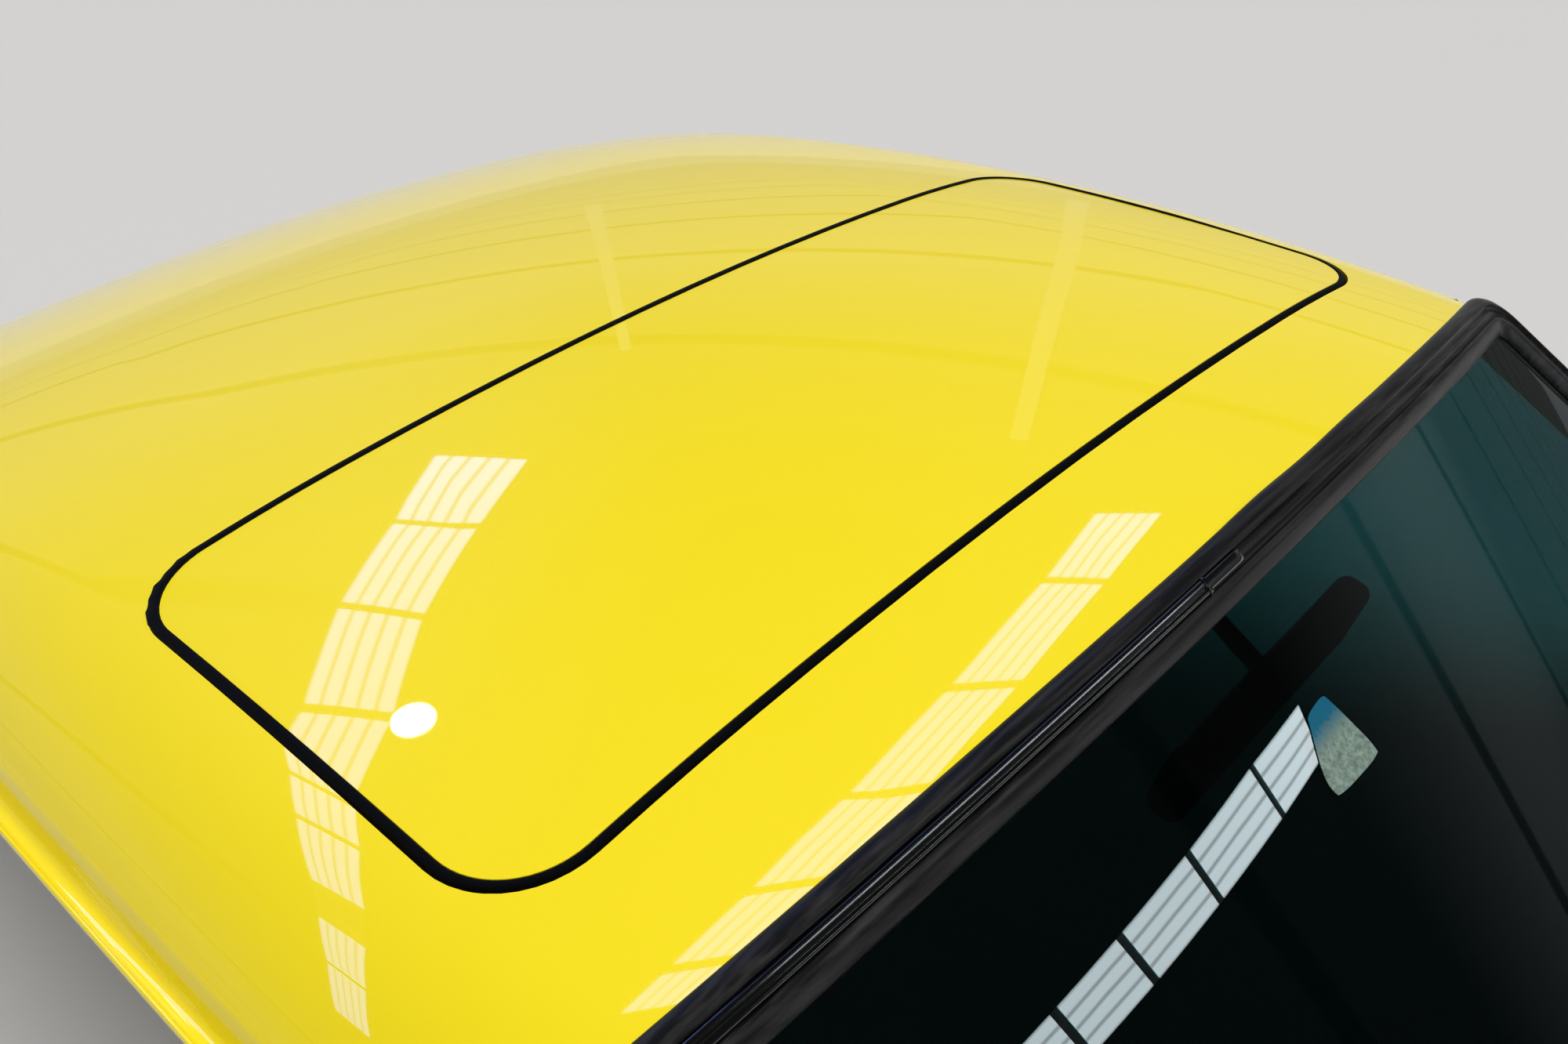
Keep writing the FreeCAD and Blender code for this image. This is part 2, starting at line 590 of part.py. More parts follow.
door_y = size("door_pillar_y")
root = roof_point(half_width(door_y) - rail_inner / 2 - 4, door_y, size("lining_depth"))
door_wide, door_long = size("door_pillar_wide"), size("door_pillar_long")
tube = Part.makeBox(door_wide, door_long, size("door_pillar_drop") + 40,
                    Vector(-door_wide / 2, -door_long / 2, -size("door_pillar_drop")))
wall = size("pillar_sheet")
tube = tube.makeFillet(5, [e for e in tube.Edges if abs(e.tangentAt(e.FirstParameter).z) > 0.99])
bore = Part.makeBox(door_wide - 2 * wall, door_long - 2 * wall, 400,
                    Vector(-door_wide / 2 + wall, -door_long / 2 + wall, -300))
tube = tube.cut(bore)
tube.Placement = Placement(root, Rotation(Vector(0, 1, 0), -size("door_pillar_lean")))
stub_end = root.z - size("door_pillar_drop") + 12
above_end = Part.makeBox(1600, 3000, 600, Vector(-800, -100, stub_end))
pair("door_pillar", tube.cut(layer(-30, size("lining_depth"))).common(above_end))

# Windscreen glass, its seal, the trim strip and its clip

glass = screen_layer(-size("glass_thick"), 0).common(screen_region(size("glass_edge")))
keep("windscreen", glass)

rise, back = size("seal_rise"), size("seal_back")
ring = screen_layer(-back, rise).common(screen_region(0).cut(screen_region(size("seal_width"))))
trim_in = size("trim_offset") + size("trim_width")
groove_band = screen_region(size("trim_offset")).cut(screen_region(trim_in))
groove = screen_layer(rise - size("trim_root"), rise + 5).common(groove_band)
seal = ring.cut(glass).cut(groove)
neighbours = (roof_skin, front_header, scuttle, *windscreen_pillar)
keep("windscreen_seal", seal.cut([neighbour.Shape for neighbour in neighbours]))

trim_half = plan_box(-900, -size("trim_end_x"), -300, 900)
trim = screen_layer(rise - size("trim_root"), rise + size("trim_rise")).common(groove_band).common(trim_half)
keep("trim_strip_right", trim)
over = size("clip_over")
clip_band = screen_region(size("trim_offset") - over).cut(screen_region(trim_in + over))
clip_x = -size("trim_end_x")
collar_box = plan_box(clip_x - size("clip_collar"), clip_x + over, roof_front, hole_front)
collar = screen_layer(rise, rise + size("trim_rise") + over).common(clip_band).common(collar_box)
tongue_box = plan_box(clip_x, clip_x + size("clip_long"), roof_front, hole_front)
tongue = screen_layer(rise - size("trim_root"), rise + size("trim_rise") - over).common(groove_band)
clip = collar.fuse(tongue.common(tongue_box)).cut(trim)
keep("trim_clip", clip.removeSplitter())

# Sunroof cassette and guide rails

tray_half = size("tray_half_width")
tray_rear_y = hole_rear + size("tray_rear")
tray_d, tray_t = size("tray_depth"), size("tray_sheet")
tray_plan = plan_box(-tray_half, tray_half, tray_front_y, tray_rear_y)
tray_hole = sunroof_region(-size("tray_band"))
tray_floor = layer(tray_d - tray_t, tray_d).common(tray_plan).cut(tray_hole)
tray_inside = plan_box(tray_t - tray_half, tray_half - tray_t, tray_front_y + tray_t, tray_rear_y - tray_t)
tray_wall = layer(skin, tray_d).common(tray_plan.cut(tray_inside))
keep("sunroof_cassette", tray_floor.fuse(tray_wall).removeSplitter())

rail_x, rail_w, rail_t = size("rail_middle_x"), size("rail_wide"), size("rail_sheet")
rail_y0, rail_y1 = hole_front + gap, tray_rear_y - 20
rail = layer(size("rail_top"), tray_d - tray_t).common(
    plan_box(rail_x - rail_w / 2, rail_x + rail_w / 2, rail_y0, rail_y1))
slot = layer(size("rail_top") + rail_t, tray_d - tray_t - rail_t).common(
    plan_box(rail_x - rail_w / 2 - 1, rail_x + rail_w / 2 - rail_t, rail_y0 - 1, rail_y1 + 1))
pair("guide_rail", rail.cut(slot))

# Headlining

lining_in = size("lining_edge")
lining_d = size("lining_depth")
lining_rear_y = window_y - 12
lining_front_y = size("screen_top_y") + 52
plan_left = side_strip(lining_in, half_width(lining_front_y) - 2, lining_front_y, lining_rear_y)
lining_plan = plan_left.fuse(mirrored(plan_left)).fuse(
    plan_box(-300, 300, lining_front_y, lining_rear_y)).removeSplitter()
notch = plan_box(root.x - door_wide, 800, door_y - door_long / 2 - 1, door_y + door_long / 2 + 1)
lining_plan = lining_plan.cut(notch).cut(mirrored(notch))
lining = layer(lining_d, lining_d + size("lining_sheet")).common(lining_plan).cut(tray_hole)
keep("headlining", lining)

# Sunroof panel, its seal, frame and board

panel = layer(0, skin).common(sunroof_region(-gap / 2))
keep("sunroof_panel", panel)
seal_out = sunroof_region(gap / 2 - size("seal_clearance"))
panel_seal = layer(size("seal_top"), size("seal_depth")).common(seal_out.cut(sunroof_region(-gap / 2)))
keep("sunroof_seal", panel_seal)
setback = gap / 2 + size("frame_setback")
ft = size("frame_sheet")
frame_out = sunroof_region(-setback)
frame_in = sunroof_region(-setback - size("frame_band"))
frame = layer(skin, size("frame_depth")).common(frame_out.cut(frame_in))
frame_core = layer(skin - 1, size("frame_depth") - ft).common(
    sunroof_region(-setback - ft).cut(sunroof_region(-setback - size("frame_band") + ft)))
keep("sunroof_frame", frame.cut(frame_core))
board = layer(size("frame_depth"), size("frame_depth") + size("board_sheet")).common(
    sunroof_region(-setback - size("board_inset")))
keep("sunroof_board", board)

# Tilt gear: brackets on the panel's frame, shoes in the rails and lift arms between them

pin_r = size("tilt_pin") / 2
hole_r = pin_r + size("pin_clearance")
eye_r = hole_r + size("pin_edge")
bracket_x, bracket_t = size("bracket_x"), size("bracket_sheet")
link_x = bracket_x + bracket_t + size("link_gap")
link_t = size("link_sheet")
tilt_y = hole_front + size("tilt_axis_back")
tilt_z = crown_z(hole_front) - size("tilt_axis_depth")


def turned(point, degrees, about_y, about_z):
    a = math.radians(degrees)
    dy, dz = point.y - about_y, point.z - about_z
    return Vector(point.x, about_y + dy * math.cos(a) - dz * math.sin(a),
                  about_z + dy * math.sin(a) + dz * math.cos(a))


def rod(radius, start, length):
    return Part.makeCylinder(radius, length, start, Vector(1, 0, 0))


def plate(x, thick, first, second, radius):
    """Flat link across the car's X: two round ends and straight sides."""
    span = second - first
    flat = Part.makeBox(thick, span.Length, 2 * radius, Vector(0, 0, -radius))
    flat.Placement = Placement(Vector(x, first.y, first.z),
                               Rotation(Vector(1, 0, 0), math.degrees(math.atan2(span.z, span.y))))
    ends = [rod(radius, Vector(x, p.y, p.z), thick) for p in (first, second)]
    return flat.fuse(ends).removeSplitter()


def arc_slot(x, thick, pin, radius):
    """Slot for a pin that turns about the tilt axis: two arcs round that axis and two round ends."""
    out = (pin - Vector(pin.x, tilt_y, tilt_z)).normalize() * radius
    travel = size("tilt_travel")
    near, far = [[turned(p, a, tilt_y, tilt_z) for a in (0, travel / 2, travel)] for p in (pin - out, pin + out)]
    for p in near + far:
        p.x = x
    wire = Part.Wire([
        arc_through(*near),
        Part.makeLine(near[2], far[2]),
        arc_through(*reversed(far)),
        Part.makeLine(far[0], near[0]),
    ])
    ends = [rod(radius, Vector(x, p.y, p.z), thick) for p in (pin, turned(pin, travel, tilt_y, tilt_z))]
    return Part.Face(wire).extrude(Vector(thick, 0, 0)).fuse(ends)


def shoe(y, half, top, bottom):
    """Slider inside the left rail, with a tongue beside the brackets."""
    fit = size("shoe_fit")
    inner = rail_x - rail_w / 2
    in_rail = plan_box(inner - 1, inner + size("shoe_wide"), y - half, y + half)
    slider = layer(size("rail_top") + rail_t + fit, tray_d - tray_t - rail_t - fit).common(in_rail)
    tongue = layer(top, bottom).common(plan_box(link_x, inner - 0.5, y - half, y + half))
    return slider.fuse(tongue).removeSplitter()


front_pin = roof_point(link_x, hole_front + size("tilt_pin_back"), size("tilt_pin_depth"))
shoe_half = size("shoe_long") / 2
front_shoe = shoe(front_pin.y, shoe_half, size("tilt_pin_depth") - 2 * eye_r, size("tilt_pin_depth") + eye_r)
pair("front_shoe", front_shoe.cut(arc_slot(link_x - 5, 12, front_pin, hole_r)))

bracket_y0 = front_pin.y - size("bracket_long") / 2
bracket_area = plan_box(bracket_x, bracket_x + bracket_t, bracket_y0, bracket_y0 + size("bracket_long"))
front_bracket = layer(size("frame_depth"), size("tilt_pin_depth")).common(bracket_area)
at_bracket = Vector(bracket_x, front_pin.y, front_pin.z)
front_bracket = front_bracket.fuse([
    plate(bracket_x, bracket_t, at_bracket, at_bracket + Vector(0, 0.01, 0), eye_r),
    rod(pin_r, at_bracket, bracket_t + size("link_gap") + link_t),
])
pair("front_bracket", front_bracket)

lift_y = hole_rear - size("lift_back")
pivot = roof_point(link_x, lift_y, size("lift_depth"))
arm_long = Vector(0, size("lift_long"), 0)
arm_tip = turned(pivot + arm_long, size("lift_rest"), pivot.y, pivot.z)
arm_tip_up = turned(pivot + arm_long, size("lift_rest") + size("lift_swing"), pivot.y, pivot.z)
arm_hole = rod(pin_r + size("pin_clearance") / 4, Vector(link_x, pivot.y, pivot.z), link_t)
arm = plate(link_x, link_t, pivot, arm_tip, eye_r).cut(arm_hole)
arm_pin = rod(pin_r, Vector(bracket_x, arm_tip.y, arm_tip.z), link_x - bracket_x + 1)
pair("lift_arm", arm.fuse(arm_pin))

rear_shoe_x = link_x + link_t + 0.5
rear_half = size("shoe_long") / 2
rail_edge = rail_x - rail_w / 2
rear_area = plan_box(rear_shoe_x, rail_edge + size("shoe_wide"), lift_y - shoe_half, lift_y + shoe_half)
rear_slider = layer(size("rail_top") + rail_t + size("shoe_fit"),
                    tray_d - tray_t - rail_t - size("shoe_fit")).common(rear_area)
rear_pin = rod(pin_r, Vector(link_x, pivot.y, pivot.z), rear_shoe_x - link_x + 4)
pair("rear_shoe", rear_slider.fuse(rear_pin))

slot_end = turned(arm_tip_up, -size("tilt_travel"), tilt_y, tilt_z)
slot_r = hole_r + size("lift_slack")
rear_y0, rear_y1 = slot_end.y - eye_r - 2, hole_rear - setback - ft
rear_area = plan_box(bracket_x, bracket_x + bracket_t, rear_y0, rear_y1)
slot_deep = size("lift_depth") + size("pin_edge")
rear_bracket = layer(size("frame_depth"), slot_deep).common(rear_area)
rear_bracket = rear_bracket.cut(plate(bracket_x - 1, bracket_t + 2, slot_end, arm_tip, slot_r))
pair("rear_bracket", rear_bracket)

# Sun visors on their rods

visor_y = size("visor_axis_y")
visor_z = crown_z(visor_y) - size("visor_drop")
visor_x0 = size("visor_middle_x") - size("visor_long") / 2
visor_x1 = visor_x0 + size("visor_long")
visor_t = size("visor_thick")
pad = Part.makeBox(size("visor_long"), size("visor_wide"), visor_t,
                   Vector(visor_x0, visor_y - visor_t / 2, visor_z - visor_t / 2))
pad = pad.makeFillet(size("visor_round"), pad.Edges)
bore_r = size("visor_rod") / 2 + size("visor_gap")
pair("sun_visor", pad.cut(rod(bore_r, Vector(visor_x0 - 1, visor_y, visor_z), size("visor_long") + 2)))

post = size("visor_post")
side_gap = size("visor_side_gap")
header_under = layer(-60, size("header_depth"))
rod_start = Vector(visor_x0 - side_gap - post / 2, visor_y, visor_z)
visor_rod = rod(size("visor_rod") / 2, rod_start, size("visor_long") + 2 * side_gap + post)
posts = []
for x in (visor_x0 - side_gap - post / 2, visor_x1 + side_gap + post / 2):
    foot = Vector(x, visor_y, visor_z)
    posts.append(Part.makeCylinder(post / 2, size("visor_drop"), foot, Vector(0, 0, 1)))
    posts.append(Part.makeSphere(post / 2, foot))
pair("visor_rod", visor_rod.fuse(posts).cut(header_under))

# Mirror on its stalk, and the roof lamp


def rounded_block(label, wide, high, deep, corner, place):
    """A moulded housing: a sketched outline, padded, with its edges rounded."""
    body = doc.addObject("PartDesign::Body", label)
    body.Label = label
    sketch = body.newObject("Sketcher::SketchObject", label + "_outline")
    plane = [f for f in body.Origin.OriginFeatures if getattr(f, "Role", "") == "XY_Plane"][0]
    sketch.AttachmentSupport = [(plane, "")]
    sketch.MapMode = "FlatFace"
    w, h = size(wide) / 2, size(high) / 2
    corners = [Vector(-w, -h, 0), Vector(w, -h, 0), Vector(w, h, 0), Vector(-w, h, 0)]
    for index in range(4):
        sketch.addGeometry(Part.LineSegment(corners[index], corners[(index + 1) % 4]), False)
    for index in range(4):
        sketch.addConstraint(Sketcher.Constraint("Coincident", index, 2, (index + 1) % 4, 1))
    for index in (0, 2):
        sketch.addConstraint(Sketcher.Constraint("Horizontal", index))
        sketch.addConstraint(Sketcher.Constraint("Vertical", index + 1))
    sketch.addConstraint(Sketcher.Constraint("Symmetric", 0, 1, 1, 2, -1, 1))
    across = sketch.addConstraint(Sketcher.Constraint("DistanceX", 0, 1, 0, 2, 2 * w))
    up = sketch.addConstraint(Sketcher.Constraint("DistanceY", 1, 1, 1, 2, 2 * h))
    sketch.setExpression("Constraints[%d]" % across, "sizes." + wide)
    sketch.setExpression("Constraints[%d]" % up, "sizes." + high)
    pad_feature = body.newObject("PartDesign::Pad", label + "_pad")
    pad_feature.Profile = sketch
    pad_feature.setExpression("Length", "sizes." + deep)
    doc.recompute()
    round_feature = body.newObject("PartDesign::Fillet", label + "_round")
    round_feature.Base = (pad_feature, ["Edge%d" % (n + 1) for n in range(len(pad_feature.Shape.Edges))])
    round_feature.setExpression("Radius", "sizes." + corner)
    body.Tip = round_feature
    body.Placement = place
    doc.recompute()
    pieces.append(body)
    return body


mirror_at = Vector(0, size("mirror_y"), size("mirror_z"))
mirror_place = Placement(mirror_at, Rotation(Vector(1, 0, 0), 90 + size("mirror_tilt")))
rounded_block("mirror", "mirror_wide", "mirror_high", "mirror_deep", "mirror_round", mirror_place)
stalk_foot = Vector(0, size("stalk_y"), crown_z(size("stalk_y")) - size("header_depth"))
stalk_end = mirror_place.multVec(Vector(0, size("mirror_high") * 0.2, size("mirror_deep") * 0.5))
run = (stalk_foot - stalk_end).normalize()
stalk = Part.makeCylinder(size("stalk_thick") / 2, (stalk_foot - stalk_end).Length + 20, stalk_end, run)
keep("mirror_stalk", stalk.cut(header_under).cut(pieces[-1].Shape))

lamp_drop = lining_d + size("lining_sheet") + size("lamp_seat")
lamp_at = Vector(0, size("lamp_y"), crown_z(size("lamp_y")) - lamp_drop)
slope = math.degrees(math.atan2(crown_z(size("lamp_y") - 5) - crown_z(size("lamp_y") + 5), 10))
lamp_place = Placement(lamp_at, Rotation(Vector(1, 0, 0), 180 - slope))
rounded_block("roof_lamp", "lamp_long", "lamp_wide", "lamp_deep", "lamp_round", lamp_place)

# Write the files

doc.recompute()
os.makedirs("parts", exist_ok=True)
for piece in pieces:
    if "Invalid" in piece.State or "Error" in piece.State:
        raise RuntimeError(piece.Label + " did not compute")
    if piece.Shape.isNull() or not piece.Shape.isValid() or not piece.Shape.Solids:
        raise RuntimeError(piece.Label + " has no valid solid")
    piece.Shape.exportStep("parts/" + piece.Label + ".step")
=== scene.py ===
import bpy
import math
from mathutils import Euler, Matrix, Vector


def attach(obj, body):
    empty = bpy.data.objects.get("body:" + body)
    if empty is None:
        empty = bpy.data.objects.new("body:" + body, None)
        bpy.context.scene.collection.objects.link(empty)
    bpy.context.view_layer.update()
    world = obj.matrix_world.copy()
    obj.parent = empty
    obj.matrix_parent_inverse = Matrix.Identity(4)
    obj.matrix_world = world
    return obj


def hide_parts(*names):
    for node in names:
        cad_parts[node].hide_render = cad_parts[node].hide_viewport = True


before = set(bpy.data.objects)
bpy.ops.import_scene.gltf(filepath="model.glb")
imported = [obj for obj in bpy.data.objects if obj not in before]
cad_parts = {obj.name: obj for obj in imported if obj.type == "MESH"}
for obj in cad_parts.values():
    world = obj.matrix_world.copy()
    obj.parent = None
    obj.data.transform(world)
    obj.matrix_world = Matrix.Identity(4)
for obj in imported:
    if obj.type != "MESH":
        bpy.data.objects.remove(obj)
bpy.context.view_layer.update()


# The roof skin and the sunroof's panel: pressed steel sheet in gloss yellow paint under clear
# lacquer, with the faint ripple of sprayed paint. Both are shaded by the roof's own arcs, so that
# they mirror cleanly.
MERGE_WITHIN = 0.000001
PAINT_CREASE = 30
ON_SKIN = 0.0008
FACES_OUT = 0.97
NORMAL_STEP = 0.001
# the top of the roof, its two radii along the car and where the second of them starts
ROOF_PEAK = (0.598, 0.416)
ROOF_LINE = 3.55
TAIL_LINE = 1.80
TAIL_START = 0.620
# half the width at the widest place, and how much of it is lost at the barrel's reach
ROOF_WIDE = 0.560
ROOF_WIDEST = 0.868
ROOF_BARREL = 0.058
BARREL_REACH = 0.8
# across the car: the share of the half width at which each arc starts, and its radius
ROOF_BANDS = [(0.0, 3.86), (0.536, 1.607), (0.83, 0.17)]
BAND_STEEPEST = 0.95


def deselect():
    bpy.ops.object.select_all(action="DESELECT")


def new_material(name, **sockets):
    """A material with one Principled shader, whose sockets take these values."""
    material = bpy.data.materials.new(name)
    material.use_nodes = True
    shader = material.node_tree.nodes["Principled BSDF"]
    for socket, value in sockets.items():
        shader.inputs[socket.replace("_", " ")].default_value = value
    return material


def add_node(tree, kind, sockets=None, **settings):
    """A shader node with these settings, whose sockets take these values."""
    node = tree.nodes.new("ShaderNode" + kind)
    for name, value in settings.items():
        setattr(node, name, value)
    for name, value in (sockets or {}).items():
        node.inputs[name].default_value = value
    return node


def join(tree, *links):
    """Links between nodes, each given as a node, its output, the next node and its input."""
    for source, output, target, socket in links:
        tree.links.new(source.outputs[output], target.inputs[socket])


def put_on(material, *names):
    for name in names:
        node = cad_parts[name]
        node.data.materials.clear()
        node.data.materials.append(material)


def roof_half(y):
    return ROOF_WIDE * (1 - ROOF_BARREL * ((y - ROOF_WIDEST) / BARREL_REACH) ** 2)


def roof_height(x, y):
    """Height of the roof's skin: two arcs along the car, three across it."""
    half = roof_half(y)
    run = y - ROOF_PEAK[0]
    turn = math.asin(min(run, TAIL_START) / ROOF_LINE)
    line = ROOF_PEAK[1] - ROOF_LINE * (1 - math.cos(turn))
    if run > TAIL_START:
        tail_run = run - TAIL_START + TAIL_LINE * math.sin(turn)
        line += math.sqrt(TAIL_LINE ** 2 - tail_run ** 2) - TAIL_LINE * math.cos(turn)
    radius = ROOF_BANDS[0][1]
    centre = Vector((0.0, line - radius))
    for share, next_radius in ROOF_BANDS[1:]:
        if abs(x) <= share * half:
            break
        turn = math.asin((share * half - centre.x) / radius)
        centre += (radius - next_radius) * Vector((math.sin(turn), math.cos(turn)))
        radius = next_radius
    return centre.y + math.sqrt(radius ** 2 - min(abs(x) - centre.x, radius * BAND_STEEPEST) ** 2)


def roof_normal(x, y):
    step = NORMAL_STEP
    slope_x = (roof_height(x + step, y) - roof_height(x - step, y)) / (2 * step)
    slope_y = (roof_height(x, y + step) - roof_height(x, y - step)) / (2 * step)
    return Vector((-slope_x, -slope_y, 1.0)).normalized()


def painted_copy(name, source, body):
    """A merged copy of a CAD piece in the yellow paint."""
    deselect()
    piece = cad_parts[source].copy()
    piece.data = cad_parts[source].data.copy()
    piece.name = name
    bpy.context.collection.objects.link(piece)
    bpy.context.view_layer.objects.active = piece
    piece.select_set(True)
    bpy.ops.object.mode_set(mode="EDIT")
    bpy.ops.mesh.select_all(action="SELECT")
    bpy.ops.mesh.remove_doubles(threshold=MERGE_WITHIN)
    bpy.ops.mesh.customdata_custom_splitnormals_clear()
    bpy.ops.object.mode_set(mode="OBJECT")
    bpy.ops.object.shade_smooth_by_angle(angle=math.radians(PAINT_CREASE))
    piece.data.materials.clear()
    piece.data.materials.append(paint)
    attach(piece, body)
    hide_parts(source)
    return piece


def pressed_skin(name, source, body):
    """A painted copy, shaded outside by the roof's own form."""
    mesh = painted_copy(name, source, body).data
    normals = [corner.vector.copy() for corner in mesh.corner_normals]
    for face in mesh.polygons:
        for loop in face.loop_indices:
            x, y, z = mesh.vertices[mesh.loops[loop].vertex_index].co
            true = roof_normal(x, y)
            if abs(z - roof_height(x, y)) < ON_SKIN and face.normal.dot(true) > FACES_OUT:
                normals[loop] = true
    mesh.normals_split_custom_set(normals)


paint = new_material(
    "yellow_paint",
    Base_Color=(0.80, 0.637, 0.006, 1.0),
    Roughness=0.42,
    IOR=1.45,
    Specular_IOR_Level=0.2,
    Coat_Weight=1.0,
    Coat_Roughness=0.02,
    Coat_IOR=1.5,
)
paint_tree = paint.node_tree
ripple_place = add_node(paint_tree, "TexCoord")
ripple_noise = add_node(paint_tree, "TexNoise", {"Scale": 25.0})
ripple_bump = add_node(paint_tree, "Bump", {"Strength": 0.6, "Distance": 0.000001})
join(
    paint_tree,
    (ripple_place, "Object", ripple_noise, "Vector"),
    (ripple_noise, "Fac", ripple_bump, "Height"),
    (ripple_bump, "Normal", paint_tree.nodes["Principled BSDF"], "Normal"),
)
pressed_skin("roof_shell", "roof_skin", "roof")
pressed_skin("sunroof_shell", "sunroof_panel", "sunroof")
put_on(paint, "windscreen_pillar_left", "windscreen_pillar_right", "scuttle", "rear_pillar_left",
       "rear_pillar_right", "door_pillar_left", "door_pillar_right")


# The drip gutters: strips of sheet rolled into an open channel and spot-welded along the roof's edge
# and down the windscreen pillars, painted with the body. The roof's length is a fine rolled
# section, which widens to the pillar's where they join.
GUTTER_FRONT = 0.448
GUTTER_REAR = 1.620
GUTTER_STEPS = 100
GUTTER_JOINT = 0.09
JOINT_WIDER = 0.27
JOINT_DEEPER = 0.38
# columns: distance outside the skin's edge, height over it
GUTTER_SECTION = [
    (-0.0006, 0.0007), (0.0006, -0.0004), (0.0022, -0.0030), (0.0040, -0.0064), (0.0060, -0.0105),
    (0.0078, -0.0140), (0.0094, -0.0163), (0.0112, -0.0174), (0.0135, -0.0178), (0.0158, -0.0176),
    (0.0172, -0.0168), (0.0180, -0.0156), (0.0186, -0.0146), (0.0193, -0.0142), (0.0201, -0.0144),
    (0.0207, -0.0152), (0.0209, -0.0166), (0.0207, -0.0200), (0.0196, -0.0240), (0.0170, -0.0280),
    (0.0120, -0.0300), (0.0072, -0.0268), (0.0032, -0.0190), (0.0012, -0.0110), (-0.0006, -0.0050),
]
SKIN_MERGE = 0.00001
SKIN_CREASE = 50


def ramp(value, start, length):
    """0 up to the start, 1 past the length from there, and a straight line between."""
    return min(max((value - start) / length, 0.0), 1.0)


def skinned(name, rows):
    """A closed skin through rows of points, each row once round the piece's section."""
    wide = len(rows[0])
    deselect()
    bpy.ops.mesh.primitive_grid_add(x_subdivisions=wide, y_subdivisions=len(rows) - 1)
    piece = bpy.context.object
    piece.name = name
    for vertex in piece.data.vertices:
        row, column = divmod(vertex.index, wide + 1)
        vertex.co = rows[row][column % wide]
    bpy.ops.object.mode_set(mode="EDIT")
    bpy.ops.mesh.select_all(action="SELECT")
    bpy.ops.mesh.remove_doubles(threshold=SKIN_MERGE)
    bpy.ops.mesh.fill_holes(sides=0)
    bpy.ops.mesh.select_all(action="SELECT")
    bpy.ops.mesh.normals_make_consistent(inside=False)
    bpy.ops.object.mode_set(mode="OBJECT")
    bpy.ops.object.shade_smooth_by_angle(angle=math.radians(SKIN_CREASE))
    return piece


def finish_piece(piece, material, body, slot, *replaced):
    piece.data.materials.append(material)
    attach(piece, body)
    if replaced:
        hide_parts(*replaced)


for side, sign in (("left", 1), ("right", -1)):
    painted_copy("pillar_gutter_" + side, "drip_gutter_" + side, "roof")
    bpy.ops.object.mode_set(mode="EDIT")
    bpy.ops.mesh.select_all(action="SELECT")
    bpy.ops.mesh.bisect(
        plane_co=(0.0, GUTTER_FRONT, 0.0),
        plane_no=(0.0, 1.0, 0.0),
        use_fill=True,
        clear_outer=True,
    )
    bpy.ops.object.mode_set(mode="OBJECT")
    rows = []
    for step in range(GUTTER_STEPS + 1):
        y = GUTTER_FRONT + (GUTTER_REAR - GUTTER_FRONT) * step / GUTTER_STEPS
        edge = Vector((roof_half(y), y, roof_height(roof_half(y), y)))
        swell = (1.0 - ramp(y, GUTTER_FRONT, GUTTER_JOINT)) ** 2
        wide = 1.0 + JOINT_WIDER * swell
        deep = 1.0 + JOINT_DEEPER * swell
        row = [edge + Vector((out * wide, 0.0, rise * deep)) for out, rise in GUTTER_SECTION]
        rows.append([Vector((sign * point.x, point.y, point.z)) for point in row])
    gutter = skinned("roof_gutter_" + side, rows)
    finish_piece(gutter, paint, "roof", "paint_yellow", "drip_gutter_" + side)


# The inner frame of the roof: headers, side rails and the roof bow, spot-welded pressings that
# have only a thin coat of the body colour.
inner_paint = new_material(
    "inner_paint",
    Base_Color=(0.60, 0.44, 0.02, 1.0),
    Roughness=0.5,
    Specular_IOR_Level=0.4,
)
put_on(inner_paint, "front_header", "rear_header", "roof_bow", "side_rail_left", "side_rail_right")


# The windscreen: laminated safety glass, tinted a dark blue-green and bent across the car, held by its
# rubber seal. Its very dark tint is partly the glass's own blue-green and partly painted shade for the
# unlit inside of the car seen through it.
glass = new_material(
    "tinted_glass",
    Base_Color=(0.008, 0.066, 0.072, 1.0),
    Roughness=0.0,
    IOR=1.5,
    Transmission_Weight=1.0,
)
put_on(glass, "windscreen")


# The windscreen seal: one extruded section of black rubber, pushed onto the flange of the opening,
# with a soft lip on the paint, a groove for the trim strip and a lip on the glass. It follows the
# glass, a cylinder laid back by its rake, and bulges where the trim strip's second half is missing.
SCREEN_RADIUS = 2.8
SCREEN_RAKE = math.radians(34.0)
SCREEN_TOP = Vector((0.0, 0.413, 0.4105))
# the seal's outline: half its top edge, the splay of its sides, its height and its lower bow
OUTLINE_TOP_HALF = 0.520
OUTLINE_SPLAY = 0.25
OUTLINE_HEIGHT = 0.560
OUTLINE_BOW = 1.703
TOP_CORNER = 0.050
LOW_CORNER = 0.110
LEAST_CORNER = 0.003
# rows along the top, the top corner, the side, the lower corner and the bow
OUTLINE_STEPS = (60, 16, 40, 20, 40)
# columns: distance inside the outline, height over the glass
SEAL_SECTION = [
    (0.0000, 0.0006), (0.0003, 0.0022), (0.0016, 0.0044), (0.0042, 0.0066), (0.0075, 0.0080),
    (0.0100, 0.0087), (0.0114, 0.0089), (0.0122, 0.0086), (0.0126, 0.0056), (0.0140, 0.0046),
    (0.0158, 0.0050), (0.0176, 0.0064), (0.0186, 0.0064), (0.0206, 0.0046), (0.0232, 0.0046),
    (0.0237, 0.0068), (0.0245, 0.0077), (0.0263, 0.0080), (0.0289, 0.0076), (0.0318, 0.0064),
    (0.0348, 0.0045), (0.0370, 0.0026), (0.0382, 0.0012), (0.0385, 0.0002), (0.0370, -0.0100),
    (0.0100, -0.0105), (0.0060, -0.0020),
]
